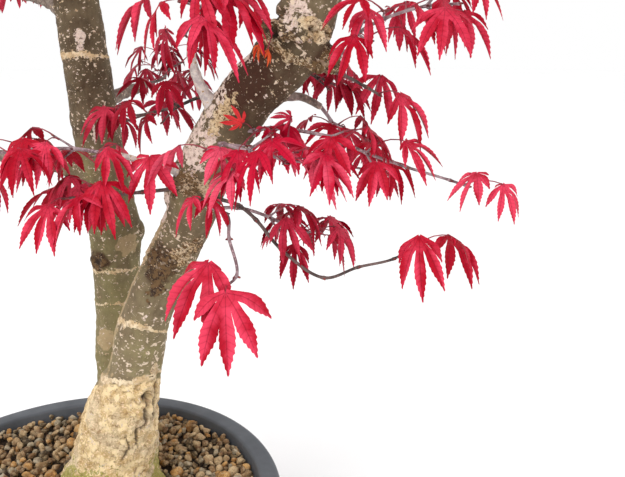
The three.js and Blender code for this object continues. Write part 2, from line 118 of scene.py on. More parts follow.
class Finish:
    """One material, with the few ways in which its nodes are added."""

    def __init__(self, name, **constants):
        self.material = bpy.data.materials.new(name)
        self.material.use_nodes = True
        self.tree = self.material.node_tree
        self.shader = self.tree.nodes["Principled BSDF"]
        for socket, value in constants.items():
            self.shader.inputs[socket.replace("_", " ")].default_value = value

    def node(self, kind, settings, sockets, output=0):
        made = self.tree.nodes.new(kind)
        for name, value in settings.items():
            setattr(made, name, value)
        for name, value in sockets.items():
            self.feed(made.inputs[name], value)
        return Value(self, made.outputs[output])

    def feed(self, socket, value):
        if isinstance(value, Value):
            self.tree.links.new(value.socket, socket)
        else:
            socket.default_value = value

    def place(self):
        return self.node("ShaderNodeTexCoord", {}, {}, "Object")

    def attribute(self, name, output="Fac"):
        return self.node("ShaderNodeAttribute", {"attribute_name": name}, {}, output)

    def stretched(self, where, scale):
        return self.node("ShaderNodeMapping", {}, {"Vector": where, "Scale": scale})

    def noise(self, size, where, detail=3, roughness=0.55):
        """Soft lumps about so many millimetres across, around 0.5."""
        sockets = {"Vector": where, "Scale": 1 / (size * MM), "Detail": detail, "Roughness": roughness}
        return self.node("ShaderNodeTexNoise", {}, sockets)

    def mix(self, share, first, second):
        return self.node("ShaderNodeMix", {"data_type": "RGBA"}, {0: share, 6: first, 7: second}, 2)

    def bump(self, height, depth, base=None):
        """Relief too fine for the mesh, so many millimetres deep."""
        sockets = {"Height": height, "Strength": 1, "Distance": depth * MM}
        if base:
            sockets["Normal"] = base
        return self.node("ShaderNodeBump", {}, sockets)

    def wear(self, colour=None, roughness=None, normal=None):
        for socket, value in {"Base Color": colour, "Roughness": roughness, "Normal": normal}.items():
            if value is not None:
                self.feed(self.shader.inputs[socket], value)
        return self


def turned(profile, steps):
    """A profile of [radius, height] rows, in millimetres, spun once round the pot's axis."""
    shape = bmesh.new()
    points = [shape.verts.new((radius * MM, 0, height * MM)) for radius, height in profile]
    edges = [shape.edges.new(pair) for pair in zip(points, points[1:])]
    bmesh.ops.spin(
        shape, geom=points + edges, cent=(0, 0, 0), axis=(0, 0, 1), angle=2 * math.pi, steps=steps,
        use_merge=True,
    )
    bmesh.ops.remove_doubles(shape, verts=shape.verts, dist=0.02 * MM)
    bmesh.ops.recalc_face_normals(shape, faces=shape.faces)
    return shape


def rounded(shape, radius, height, size):
    """Rounds the ring of edges at a radius and height."""
    def on_ring(vert):
        outward = math.hypot(vert.co.x, vert.co.y) - radius * MM
        return math.hypot(outward, vert.co.z - height * MM) < 0.1 * MM

    ring = [edge for edge in shape.edges if all(on_ring(vert) for vert in edge.verts)]
    bmesh.ops.bevel(
        shape, geom=ring, offset=size * MM, offset_type="OFFSET", segments=5, profile=0.5,
        affect="EDGES", material=-1,
    )


def object_of(mesh, name):
    made = bpy.data.objects.new(name, mesh)
    bpy.context.scene.collection.objects.link(made)
    return made


def shaped(shape, name):
    """A bmesh as a new object with smooth faces and its sharp edges kept."""
    mesh = bpy.data.meshes.new(name)
    shape.to_mesh(mesh)
    shape.free()
    mesh.shade_smooth()
    mesh.set_sharp_from_angle(angle=math.radians(SHARP_ANGLE))
    return object_of(mesh, name)


def applied(thing):
    """Fixes an object's modifiers into its mesh."""
    graph = bpy.context.evaluated_depsgraph_get()
    mesh = bpy.data.meshes.new_from_object(thing.evaluated_get(graph))
    thing.modifiers.clear()
    thing.data = mesh
    return thing


def finished(piece, finish, nodes):
    """Gives a piece its material and its place on the plant's one body, and hides the nodes it stands
    for.
    """
    piece.data.materials.clear()
    piece.data.materials.append(finish.material)
    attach(piece, "root")
    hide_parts(*nodes)
    return piece


rim_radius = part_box("pot")[1].x / MM
pot_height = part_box("pot")[1].z / MM
under_lip = pot_height - POT_LIP
shape = turned(
    [
        [0, 0],
        [POT_FOOT, 0],
        [POT_MOUTH + POT_WALL, under_lip],
        [POT_MOUTH + POT_WALL, pot_height - POT_WALL],
        [rim_radius - POT_WALL, pot_height - POT_WALL],
        [rim_radius - POT_WALL, under_lip],
        [rim_radius, under_lip],
        [rim_radius, pot_height],
        [POT_MOUTH, pot_height],
        [POT_FOOT - POT_WALL, POT_FLOOR],
        [0, POT_FLOOR],
    ],
    POT_STEPS,
)
# Where the mould rounds an edge: its radius, its height and the rounding.
EDGES = [
    [rim_radius, pot_height, 3.4],
    [POT_MOUTH, pot_height, 2.2],
    [rim_radius, under_lip, 0.9],
    [rim_radius - POT_WALL, under_lip, 0.9],
    [POT_FOOT, 0, 2.4],
    [POT_FOOT - POT_WALL, POT_FLOOR, 1.6],
]
for radius, height, size in EDGES:
    rounded(shape, radius, height, size)
pot = shaped(shape, "pot_shell")

drains = bmesh.new()
for turn in np.arange(DRAIN_COUNT) + 0.5:
    spot = Matrix.Rotation(2 * math.pi * turn / DRAIN_COUNT, 4, "Z") @ Vector((DRAIN_CIRCLE * MM, 0, 0))
    bmesh.ops.create_cone(
        drains, cap_ends=True, segments=32, radius1=DRAIN_RADIUS * MM, radius2=DRAIN_RADIUS * MM,
        depth=4 * POT_FLOOR * MM, matrix=Matrix.Translation(spot),
    )
drills = shaped(drains, "drills")
cut = pot.modifiers.new("drains", "BOOLEAN")
cut.operation = "DIFFERENCE"
cut.solver = "EXACT"
cut.object = drills
applied(pot)
bpy.data.objects.remove(drills)
pot.data.set_sharp_from_angle(angle=math.radians(SHARP_ANGLE))

plastic = Finish("dark grey plastic", IOR=1.46)
where = plastic.place()
grain = plastic.noise(0.5, where, detail=2)
cloud = plastic.noise(26, where, detail=5)
scuff = plastic.noise(3, plastic.stretched(where, (1, 1, 0.2)), detail=6, roughness=0.7)
scuffed = scuff.above(0.66, 0.05) * cloud.above(0.5, 0.12)
slate = plastic.mix(cloud.above(0.5, 0.25), tone(68, 72, 78), tone(88, 92, 98))
plastic.wear(
    plastic.mix(scuffed * 0.5, slate, tone(128, 130, 134)),
    0.42 + grain * 0.12 + scuffed * 0.15,
    plastic.bump(grain + scuffed * 0.6, 0.06),
)
finished(pot, plastic, ["pot"])

# --- Gravel ---------------------------------------------------------------------------------
# A free-draining mix of pumice, fired clay and bark grit, sifted to 5 to 11 mm and poured loose
# round the roots. Dark fine stuff shows between the grains, which lie where they rolled.

GRAVEL_TOP = 132
GRAVEL_SIZES = [2.3, 5.6]
GRAVEL_TRIES = 9000
GRAIN_TOUCH = 0.86
GRAIN_SINK = 0.45
GRAIN_CLIMB = 0.8
GRAIN_SWELL = 1.08
WALL_ROOM = 0.8
TRUNK_ROOM = 0.35
GRAIN_FLATS = 11
FLAT_DEPTHS = (0.42, 0.8)
GRAIN_STRETCH = (0.78, 1.28)
BED_TOP = 123.5
BED_GAP = 0.6
BED_RISE = 1.1
BED_STEPS = 96
BED_CUTS = 40
# Numbers that shuffle a cell's place into a level that looks random.
CELL_PRIMES = np.array([73856093, 19349663, 83492791])
SEED_PRIME = 65537
MIXER = 73244475
# Root flare of each trunk: the foot's middle and radius, and how it widens into flutes.
FLARES = {
    "trunk_main": {"foot": (22, 20), "radius": 30.4, "spread": 0.3, "height": 16, "flutes": 5,
                   "depth": 0.09, "turn": 20},
    "trunk_back": {"foot": (17, 82), "radius": 20.7, "spread": 0.22, "height": 14, "flutes": 4,
                   "depth": 0.08, "turn": 60},
}
# Kinds of grain: name, share, and the two tones they vary between.
GRAINS = [
    ["gravel_tan", 0.34, (166, 134, 96), (208, 180, 138)],
    ["gravel_brown", 0.24, (112, 82, 54), (156, 122, 84)],
    ["gravel_ochre", 0.14, (172, 122, 66), (212, 166, 104)],
    ["gravel_grey", 0.14, (142, 128, 106), (192, 178, 152)],
    ["gravel_dark", 0.14, (66, 52, 36), (104, 84, 58)],
]


def flare_factor(flare, height, bearing):
    """How much wider a trunk's foot is than its stem: less and less up to the flare's height."""
    fade = np.exp(-np.maximum(0, height) / flare["height"])
    flutes = np.cos(np.radians(flare["flutes"] * (bearing - flare["turn"])))
    return 1 + fade * (flare["spread"] + flare["depth"] * flutes)


def lumps(points, size, seed=0, octaves=3):
    """Seeded lumps about so large, from -1 to 1, at an array of points in the same unit."""
    total = np.zeros(len(points))
    share = 1.0
    for octave in range(octaves):
        spots = points / size * 2**octave + 17.3 * octave
        cells = np.floor(spots).astype(np.int64)
        part = spots - cells
        part = part * part * (3 - 2 * part)
        for corner in np.ndindex(2, 2, 2):
            mixed = ((cells + corner) @ CELL_PRIMES + seed * SEED_PRIME) & 0xFFFFFFFF
            for shift in (15, 13):
                mixed = ((mixed ^ (mixed >> shift)) * MIXER) & 0xFFFFFFFF
            level = (mixed ^ (mixed >> 16)) / 0x7FFFFFFF - 1
            near = np.prod(np.where(np.array(corner) == 1, part, 1 - part), axis=1)
            total += share * level * near
        share *= 0.5
    return total


def mesh_of(name, points, triangles, **levels):
    """One mesh from arrays of points and triangles, with named numbers at its points."""
    mesh = bpy.data.meshes.new(name)
    mesh.vertices.add(len(points))
    mesh.vertices.foreach_set("co", np.asarray(points, np.float32).ravel())
    mesh.loops.add(3 * len(triangles))
    mesh.loops.foreach_set("vertex_index", np.asarray(triangles, np.int32).ravel())
    mesh.polygons.add(len(triangles))
    mesh.polygons.foreach_set("loop_start", np.arange(0, 3 * len(triangles), 3, dtype=np.int32))
    mesh.update(calc_edges=True)
    for attribute, values in levels.items():
        values = np.asarray(values, np.float32)
        kind, field = ("FLOAT", "value") if values.ndim == 1 else ("FLOAT_VECTOR", "vector")
        mesh.attributes.new(attribute, kind, "POINT").data.foreach_set(field, values.ravel())
    mesh.shade_smooth()
    return mesh


def joined_piece(name, copies, **levels):
    """Many small (points, triangles) pairs, in millimetres, as one object."""
    points, triangles, count = [], [], 0
    for spots, faces in copies:
        points.append(spots)
        triangles.append(faces + count)
        count += len(spots)
    mesh = mesh_of(name, np.concatenate(points) * MM, np.concatenate(triangles), **levels)
    return object_of(mesh, name)


def outside_feet(x, y, room):
    """Whether a spot on the gravel is clear of both trunks' feet."""
    for flare in FLARES.values():
        dx, dy = x - flare["foot"][0], y - flare["foot"][1]
        edge = flare["radius"] * flare_factor(flare, 0, math.degrees(math.atan2(dy, dx)))
        if math.hypot(dx, dy) < edge + room:
            return False
    return True


def wall_radius(height):
    """The radius of the pot's inner wall at a height."""
    share = (height - POT_FLOOR) / (pot_height - POT_FLOOR)
    return POT_FOOT - POT_WALL + share * (POT_MOUTH - POT_FOOT + POT_WALL)


random = np.random.default_rng(11)
bed_edge = wall_radius(BED_TOP) - BED_GAP
bed_foot = POT_FLOOR + 0.3
bed_profile = [[0, bed_foot], [POT_FOOT - POT_WALL - 1, bed_foot], [bed_edge, BED_TOP], [0, BED_TOP]]
bed = turned(bed_profile, BED_STEPS)
spokes = [edge for edge in bed.edges if abs(edge.calc_length() - bed_edge * MM) < 1 * MM]
bmesh.ops.subdivide_edges(bed, edges=spokes, cuts=BED_CUTS)
level = [vert for vert in bed.verts if vert.co.z > (BED_TOP - 1) * MM]
rise = lumps(np.array([vert.co[:] for vert in level]) / MM, 5, seed=5)
for vert, lift in zip(level, rise):
    vert.co.z += BED_RISE * lift * MM
bed_piece = shaped(bed, "gravel_bed")
fines = Finish("dark fines", Roughness=0.95)
where = fines.place()
speck = fines.noise(1.6, where, detail=5, roughness=0.7)
dusk = fines.mix(speck.above(0.52, 0.1), tone(34, 26, 20), tone(84, 64, 46))
fines.wear(dusk, None, fines.bump(speck, 0.8))
finished(bed_piece, fines, ["soil"])

# Grains are dropped one by one, each on the bed or on the grains that it meets.
spots = np.zeros((0, 4))
for across, turn, size in random.random((GRAVEL_TRIES, 3)):
    radius = GRAVEL_SIZES[0] + (GRAVEL_SIZES[1] - GRAVEL_SIZES[0]) * size**1.6
    reach = math.sqrt(across) * (wall_radius(GRAVEL_TOP - 5) - radius * WALL_ROOM)
    x, y = reach * math.cos(2 * math.pi * turn), reach * math.sin(2 * math.pi * turn)
    if not outside_feet(x, y, radius * TRUNK_ROOM):
        continue
    seat = BED_TOP + radius * GRAIN_SINK
    if len(spots):
        apart = np.hypot(spots[:, 0] - x, spots[:, 1] - y)
        touch = GRAIN_TOUCH * (spots[:, 3] + radius)
        under = apart < touch
        if under.any():
            climb = np.sqrt(touch[under] ** 2 - apart[under] ** 2)
            seat = max(seat, (spots[under, 2] + climb * GRAIN_CLIMB).max())
    if seat + radius * 0.5 < GRAVEL_TOP:
        spots = np.vstack([spots, [x, y, seat, radius]])


def ball_of(subdivisions):
    """A round ball of unit radius, as points and triangles."""
    ball = bmesh.new()
    bmesh.ops.create_icosphere(ball, subdivisions=subdivisions, radius=1)
    points = np.array([vert.co[:] for vert in ball.verts])
    faces = np.array([[vert.index for vert in face.verts] for face in ball.faces])
    ball.free()
    return points, faces


ball_points, ball_faces = ball_of(2)


def grain_points(spot):
    """One crushed grain: a ball with flats broken off it, squashed a little and turned any way."""
    points = ball_points.copy()
    for _ in range(GRAIN_FLATS):
        flat = random.normal(size=3)
        flat /= np.linalg.norm(flat)
        depth = random.uniform(*FLAT_DEPTHS)
        over = np.maximum(0, points @ flat - depth)
        points -= np.outer(over, flat)
    points *= random.uniform(*GRAIN_STRETCH, size=3)
    turn, _ = np.linalg.qr(random.normal(size=(3, 3)))
    turn *= np.sign(np.linalg.det(turn))
    return points @ turn.T * spot[3] * GRAIN_SWELL + spot[:3]


shares = np.cumsum([share for _, share, _, _ in GRAINS])
kinds = np.searchsorted(shares / shares[-1], random.random(len(spots)))
for kind, (name, _, dull, bright) in enumerate(GRAINS):
    grains = [(grain_points(spot), ball_faces) for spot in spots[kinds == kind]]
    stone = Finish(name.replace("_", " "), Roughness=0.9)
    where = stone.place()
    patch = stone.noise(7, where, detail=1)
    pores = stone.noise(0.9, where, detail=4, roughness=0.7)
    shade = stone.mix(patch.above(0.5, 0.16), tone(*dull), tone(*bright))
    # Darker in the low pits of the bump, then paler with dust in patches.
    pitted_and_dusty = stone.mix(pores.above(0.42, 0.14), tone(*(level * 0.62 for level in dull)), shade)
    dust = stone.noise(2.6, where, detail=3).above(0.56, 0.1)
    pitted_and_dusty = stone.mix(dust * 0.5, pitted_and_dusty, tone(198, 176, 138))
    stone.wear(pitted_and_dusty, None, stone.bump(pores, 0.35))
    finished(joined_piece(name, grains), stone, ["soil"])

# --- Trunks and boughs ----------------------------------------------------------------------
# Living wood: two trunks from one root flare, with the boughs that grow out of them. The bark
# is smooth and olive-grey with cream flecks, rings where shoots once ended, knots and calluses.

# Steps of each trunk and its stubs, whose rows hold height, bearing, rise, length and radius. A
# step holds length, bearing, rise and the radius at its end.
TRUNKS = {
    "trunk_main": {
        "walk": [
            (61.3, 0, 79, 26.5), (41, 0, 73.5, 20.2), (37, -11, 73, 17), (83, -9, 64, 15.6),
            (37, -17, 69, 17.6), (52, -16, 56, 16.8), (45, -11, 45, 16), (25, 0, 69, 15.6),
            (48, 22, 77, 14), (56, 135, 81, 10.5), (42, 160, 72, 5.5),
        ],
        "stubs": [
            (352, 160, 10, 20, 9), (372, 350, 5, 22, 7), (440, -2, 0, 31, 8), (456, 255, 10, 21, 9),
            (464, 200, 20, 19, 6),
        ],
    },
    "trunk_back": {
        "walk": [
            (70.5, 0, 89, 18.5), (62, 0, 88, 17.2), (54, 0, 88, 18.8), (60, 180, 84, 17.2),
            (84, 178, 86, 15), (64, 190, 83, 13.6), (60, 200, 78, 10.5), (56, 150, 74, 5),
        ],
        "stubs": [(310, 20, 5, 21, 8), (420, 250, 15, 19, 7)],
    },
}
TRUNK_START = 129.8
TRUNK_SIDES = 40
STUB_SIDES = 20
BOUGH_SIDES = 18
BARK_STEP = 1.06
BATCH = 4000
APART = 1000
NODE_GAP = 10.5
THICK = 14
RING_PARTS = ("centres", "radii", "ways", "across", "over")
# Boughs of each trunk: the height and radius they start with, and their steps.
BOUGHS = {
    "trunk_main": {
        "bough_left_low": (367, 2.7, [(34, 212, 20, 2.1), (20, 204, 20, 1.8)]),
        "bough_fork": (402, 4, [(23, 201, 50, 3.2), (27, 229, 70, 2.7), (24, 319, 67, 2.4)]),
        "bough_hook": (405, 3.6, [(33, 46, 14, 3.1), (19, 21, 6, 2.8), (17, 23, -26, 2.4)]),
        "bough_right_back": (486, 7, [(38, 70, 30, 5), (30, 50, 18, 3.8), (20, 62, 8, 3)]),
        "bough_right_high": (505, 7, [(38, -8, 34, 5.2), (28, 6, 14, 3.9), (18, -10, 6, 3)]),
        "bough_right_front": (530, 6.5, [(38, -62, 36, 4.8), (30, -76, 16, 3.7), (18, -55, 6, 2.9)]),
        "bough_inner_front": (556, 5.6, [(34, 224, 38, 4.2), (30, 206, 22, 3.3), (16, 220, 10, 2.7)]),
        "bough_right_top": (580, 5, [(32, 30, 42, 3.8), (26, 12, 30, 2.8)]),
    },
    "trunk_back": {
        "bough_left_back_low": (352, 7.5, [(44, 190, 18, 5.6), (36, 176, 6, 4.2), (24, 190, 10, 3.1)]),
        "bough_back_low": (390, 7, [(42, 86, 22, 5.2), (32, 66, 10, 4), (20, 86, 5, 3)]),
        "bough_left_front": (486, 7, [(44, 222, 24, 5.2), (36, 208, 10, 4), (22, 228, 5, 3)]),
        "bough_back_left": (456, 6.8, [(44, 136, 26, 5), (36, 150, 12, 3.8), (22, 134, 6, 2.9)]),
        "bough_back_right": (503, 6.2, [(42, 52, 30, 4.8), (34, 36, 16, 3.7), (20, 50, 8, 2.8)]),
        "bough_front": (530, 5.8, [(42, 272, 32, 4.4), (34, 290, 16, 3.5), (18, 272, 8, 2.7)]),
        "bough_left_high": (552, 5.8, [(42, 184, 30, 4.4), (36, 196, 14, 3.5), (20, 182, 6, 2.7)]),
        "bough_back_high": (584, 5, [(38, 104, 40, 3.8), (32, 92, 22, 2.7)]),
        "bough_crown_right": (606, 4.6, [(36, 8, 40, 3.6), (30, -12, 24, 2.7)]),
    },
}

# Marks on the bark, by their distance up the trunk and their bearing round it.
# Rings: distance, bearing at which they rise, how much, width, strength, bearing where widest.
RINGS = {
    "trunk_main": [
        (98.3, -20, 8, 2.7, 1.0, -105), (136, -82, 8, 3.0, 1.0, -145), (186.3, -70, 3, 1.6, 0.3, 20),
        (222.3, -90, 2, 1.4, 0.3, 60), (258.3, -60, 3, 1.8, 0.35, 90), (290.3, 150, 4, 2.2, 0.5, 120),
        (328.3, -150, 4, 1.6, 0.3, 60), (400.3, -90, 3, 2.0, 0.6, -90), (428.3, 0, 2, 1.8, 0.6, 0),
        (460.3, -90, 2, 1.6, 0.5, 90), (495.3, 90, 2, 1.5, 0.5, 0),
    ],
    "trunk_back": [
        (50.5, -90, 3, 2.0, 0.5, 60), (88.5, 0, 2, 1.8, 0.5, 60), (126.5, -60, 1.5, 1.1, 0.8, -60),
        (153.4, -60, 1, 1.6, 0.8, -90), (230.5, 60, 3, 1.4, 0.4, 60), (310, -150, 2, 2.5, 0.95, -100),
        (346.5, 0, 2, 1.8, 0.5, 90), (392.5, 120, 2, 1.8, 0.6, 120), (436.5, -60, 2, 1.5, 0.5, 0),
    ],
}
# Knots: distance, bearing, half height, half width, hollow's depth, lip's height.
KNOTS = {
    "trunk_main": [
        (91, -45, 5.2, 4.2, 5, 1.7), (355, -143, 7, 5.5, 6, 1.8), (367.2, -83, 2.4, 2.0, 3.2, 0.9),
        (367.9, -50, 2.4, 2.0, 3.2, 0.9), (200.3, 95, 7, 5, 3, 1.2), (320.3, 60, 6, 5, 3, 1.2),
    ],
    "trunk_back": [
        (161.2, -122, 4.4, 4.4, 2.2, 0.9), (110.5, 60, 6, 5, 3, 1.2), (255.5, 120, 6, 5, 3, 1.2),
    ],
}
# Burrs, where the wood swells out: distance, bearing, half length, half width, height.
BURRS = {
    "trunk_main": [(352, -172, 11, 9, 6.5), (367.5, -66, 6, 10, 2.6)],
    "trunk_back": [(161, -122, 9, 9, 1.2)],
}
# Calluses: distance, bearing, half length, half width, height, roughness, how much of it is cream.
CALLUSES = {
    "trunk_main": [
        (190, -106, 13, 11, 1.1, 1.8, 0.05), (176, -92, 11, 4.5, 0.5, 1.3, 0.0),
        (206, -68, 11, 9, 1.0, 1.7, 0.6), (187, -152, 9, 3.5, 0.5, 1.3, 0.9),
        (211, -48, 9, 8, 0.9, 1.5, 0.4), (247, -148, 11, 10, 1.4, 1.9, 0.15),
        (251, -106, 9, 9, 1.6, 1.9, 0.4), (253, -66, 9, 10, 1.5, 1.8, 0.85),
        (300, -113, 17, 4.5, 0.6, 1.5, 0.8), (354, -145, 13, 12, 1.5, 1.9, 0.3),
        (349.5, -108, 3.2, 8, 1.2, 1.6, 0.55), (351.6, -84, 3.0, 8, 1.3, 1.6, 0.55),
        (352.6, -58, 3.0, 8, 1.3, 1.6, 0.5), (353, -32, 3.4, 8, 1.3, 1.7, 0.4),
        (358, -20, 5, 5, 1.4, 1.7, 0.3), (367.5, -66, 5.5, 11, 1.6, 1.3, 0.85),
        (109, -38, 7, 5, 0.8, 1.2, 0.85), (80, 80, 14, 12, 0.9, 1.2, 0.5),
        (280, 40, 10, 10, 1.0, 1.3, 0.5),
    ],
    "trunk_back": [
        (161.2, -122, 7.5, 8, 0.8, 1.2, 0.05), (194.5, 80, 10, 10, 0.8, 1.2, 0.5),
    ],
}
# Fissures: from and to along the trunk, bearing, half width, depth.
FISSURES = {
    "trunk_main": [
        (64.3, 86.3, -41, 1.4, 1.8), (46.3, 68.3, -49, 1.2, 1.5), (42.3, 62.3, -63, 1.1, 1.3),
        (64.3, 104.3, -21, 1.4, 1.8), (20.3, 60.3, 150, 1.4, 1.6), (26.3, 74.3, 70, 1.3, 1.6),
    ],
    "trunk_back": [(10.5, 48.5, -100, 1.2, 1.3)],
}
# Patches where the outer bark has scaled off: distance, bearing, half length, half width.
PATCHES = {
    "trunk_main": [
        (284, -148, 32, 12), (262, -118, 12, 8), (276, -112, 16, 5), (372, -112, 13, 7),
        (320, -165, 22, 7), (230, -165, 16, 5), (390, -130, 12, 6), (222, 80, 20, 8),
    ],
    "trunk_back": [(78.5, 100, 16, 8), (320, -80, 10, 3), (262, -80, 14, 1.6)],
}
# Stained bark: distance, bearing, half length, half width, and how deep the stain is.
STAINS = {
    "trunk_main": [
        (321, -124, 25, 12, 1.0), (326, -78, 30, 18, 0.5), (345, -50, 18, 20, 0.35),
        (190, -106, 15, 12, 0.8), (247, -152, 13, 10, 0.6), (354, -146, 13, 11, 0.8),
        # Painted shadow: this row darkens the bark round and beneath the callus knob at 358 mm.
        (356, -22, 9, 9, 0.7),
    ],
    "trunk_back": [(161, -122, 9, 10, 0.8), (190, -60, 26, 20, 0.35)],
}
# Tan bark, thin and dry: distance, bearing, half length, half width.
TAN = {
    "trunk_main": [(88, -136, 12, 13), (120, -160, 24, 5), (160, -165, 40, 4), (205, -160, 30, 4)],
    "trunk_back": [(174.5, -44, 8, 9), (98.5, -112, 8, 9), (20, -100, 24, 16)],
}
# Rows of distance and level: how light the bark is, and how thick its pale flecks lie.
# The light level is partly the bark's own tone and partly painted shade, darker up the trunk where the
# crown shades it.
SHADES = {
    "trunk_main": [
        (0, 1.0), (110, 0.64), (150, 0.54), (200, 0.47), (240, 0.44), (300, 0.32), (330, 0.12),
        (380, 0.28), (470, 0.32),
    ],
    "trunk_back": [
        (0, 0.8), (100, 0.75), (140, 0.6), (180, 0.45), (230, 0.5), (270, 0.2), (330, 0.2), (450, 0.3),
    ],
}
FLECKS = {
    "trunk_main": [
        (0, 0), (104, 0), (110, 1), (132, 0.9), (140, 0.3), (182, 0.4), (192, 0.9), (212, 0.9),
        (230, 0.4), (300, 0.35), (345, 0.4), (360, 0.9), (400, 0.4),
    ],
    "trunk_back": [
        (0, 0.2), (140, 0.35), (220, 0.3), (250, 0.3), (262, 0.7), (280, 0.7), (292, 0.35), (318, 0.7),
        (350, 0.4),
    ],
}
MARKS = ("cream", "pale", "dark", "crumb", "crust", "stain", "tan")
# Pale rough bark at the foot: how far up it reaches, more on one side, and how soft its edge is.
FEET = {
    "trunk_main": {"top": 89, "slant": 18, "bearing": -50, "ragged": 3, "edge": (-4, 8)},
    "trunk_back": {"top": 26, "slant": 0, "bearing": 0, "ragged": 0, "edge": (-8, 14)},
}
MOSS_TOP = 38
# Waists, where one side of the wood draws in: distance, bearing, half length, depth.
WAISTS = {"trunk_main": [(98, -165, 22, 3.6)], "trunk_back": []}
# Faces of sawn stubs: distance, bearing, half length, half width, height.
STUB_FACES = {"trunk_main": [(300.4, -34, 5.5, 4.5, 2.6)], "trunk_back": []}
# How cream the lips of a trunk's knots are, and how green its bark is.
LIP_CREAM = {"trunk_main": 0.62, "trunk_back": 0}
GREENNESS = {"trunk_main": 0.35, "trunk_back": 0.75}
# Boughs whose bark has weathered to silver.
SILVERY = {"bough_left_low": 1.0, "bough_fork": 0.6, "bough_hook": 0.35}


def heading(bearing, rise):
    turn, climb = math.radians(bearing), math.radians(rise)
    level = math.cos(climb)
    return np.array([level * math.cos(turn), level * math.sin(turn), math.sin(climb)])


def bearing_of(way):
    return math.degrees(math.atan2(way[1], way[0]))


def limb_from(start, radius, walk):
    """A limb is a smooth curve through the ends of its steps, with the radius at each."""
    points, radii = [np.asarray(start, float)], [radius]
    for length, bearing, rise, end in walk:
        points.append(points[-1] + heading(bearing, rise) * length)
        radii.append(end)
    return {"points": np.array(points), "radii": radii}


def point_on(limb, share):
    """The limb's centre at a share of its steps: a centripetal curve, so no step overshoots."""
    points = limb["points"]
    steps = len(points) - 1
    step = min(int(share * steps), steps - 1)
    part = share * steps - step
    here, there = points[step], points[step + 1]
    before = points[step - 1] if step else 2 * points[0] - points[1]
    after = points[step + 2] if step + 2 <= steps else 2 * points[-1] - points[-2]
    gaps = [np.linalg.norm(b - a) ** 0.5 for a, b in [(before, here), (here, there), (there, after)]]
    leave = (here - before) / gaps[0] - (there - before) / (gaps[0] + gaps[1]) + (there - here) / gaps[1]
    reach = (there - here) / gaps[1] - (after - here) / (gaps[1] + gaps[2]) + (after - there) / gaps[2]
    leave, reach = leave * gaps[1], reach * gaps[1]
    return (
        here + leave * part + (3 * (there - here) - 2 * leave - reach) * part**2
        + (2 * (here - there) + leave + reach) * part**3
    )


def way_at(limb, share):
    ahead, behind = point_on(limb, min(1, share + 1e-4)), point_on(limb, max(0, share - 1e-4))
    return (ahead - behind) / np.linalg.norm(ahead - behind)


def at_height(limb, height):
    share = 0
    while share < 1 and point_on(limb, share)[2] < height:
        share += 0.001
    return point_on(limb, share)


def sections(limb, spacing):
    """Cross-sections about so many millimetres apart: centres, radii, ways, and two directions across."""
    steps = len(limb["points"]) - 1
    lengths = np.linalg.norm(np.diff(limb["points"], axis=0), axis=1)
    per_step = [max(2, round(length / spacing)) for length in lengths]
    shares = np.concatenate([(i + np.arange(n) / n) / steps for i, n in enumerate(per_step)] + [[1]])
    ways = np.array([way_at(limb, share) for share in shares])
    across = np.array([ways[0][1], -ways[0][0], 0.0])
    across = np.array([1.0, 0, 0]) if np.linalg.norm(across) < 1e-3 else across / np.linalg.norm(across)
    rows = []
    for way in ways:
        across = across - way * (across @ way)
        across /= np.linalg.norm(across)
        rows.append(across)
    centres = np.array([point_on(limb, share) for share in shares])
    return {
        "centres": centres,
        "radii": np.interp(shares * steps, np.arange(steps + 1), limb["radii"]),
        "ways": ways,
        "across": np.array(rows),
        "over": np.cross(rows, ways),
        "along": np.concatenate([[0], np.cumsum(np.linalg.norm(np.diff(centres, axis=0), axis=1))]),
    }


def add_limb(shape, rings, sides, flare=None):
    """A tube of wood along the sections, extruded ring by ring and closed at both ends."""
    frames = []
    for centre, radius, way, across, over in zip(*(rings[key] for key in RING_PARTS)):
        columns = [across * radius * MM, over * radius * MM, way * MM, centre * MM]
        frames.append(Matrix([[column[row] for column in columns] for row in range(3)] + [[0, 0, 0, 1]]))
    first = bmesh.ops.create_circle(
        shape, cap_ends=True, segments=sides, radius=1, matrix=frames[0],
    )["verts"]
    edges = list({edge for vert in first for edge in vert.link_edges})
    placed = [(first, rings["centres"][0])]
    for last, this, centre in zip(frames, frames[1:], rings["centres"][1:]):
        grown = bmesh.ops.extrude_edge_only(shape, edges=edges)["geom"]
        verts = [part for part in grown if isinstance(part, bmesh.types.BMVert)]
        edges = [part for part in grown if isinstance(part, bmesh.types.BMEdge)]
        edges = [edge for edge in edges if all(vert in verts for vert in edge.verts)]
        bmesh.ops.transform(shape, matrix=this @ last.inverted(), verts=verts)
        placed.append((verts, centre))
    bmesh.ops.contextual_create(shape, geom=edges)
    if flare:
        spread_foot(placed, flare)


def spread_foot(placed, flare):
    """Root flare: the lowest rings widen into flutes and are cut level."""
    for verts, centre in placed:
        height = centre[2] - TRUNK_START
        for vert in verts:
            offset = np.array(vert.co[:]) / MM - centre
            if height < 1:
                offset[2] = 0
            factor = flare_factor(flare, height, bearing_of(offset))
            vert.co = Vector((centre + offset * factor) * MM)


def collared(rings, trunk_radius):
    """A bough's rings, swollen where it leaves the trunk."""
    clear = np.maximum(0, rings["along"] - trunk_radius)
    rings["radii"] = rings["radii"] * (1 + 0.6 * np.exp(-clear / 6))
    return rings


limbs = {}
for name, spec in TRUNKS.items():
    flare = FLARES[name]
    limbs[name] = limb_from((*flare["foot"], TRUNK_START), flare["radius"], spec["walk"])
for trunk, boughs in BOUGHS.items():
    for name, (height, radius, walk) in boughs.items():
        limbs[name] = limb_from(at_height(limbs[trunk], height), radius, walk)


def radius_at(trunk, height):
    """A trunk's radius at a height."""
    return np.interp(height, limbs[trunk]["points"][:, 2], limbs[trunk]["radii"])


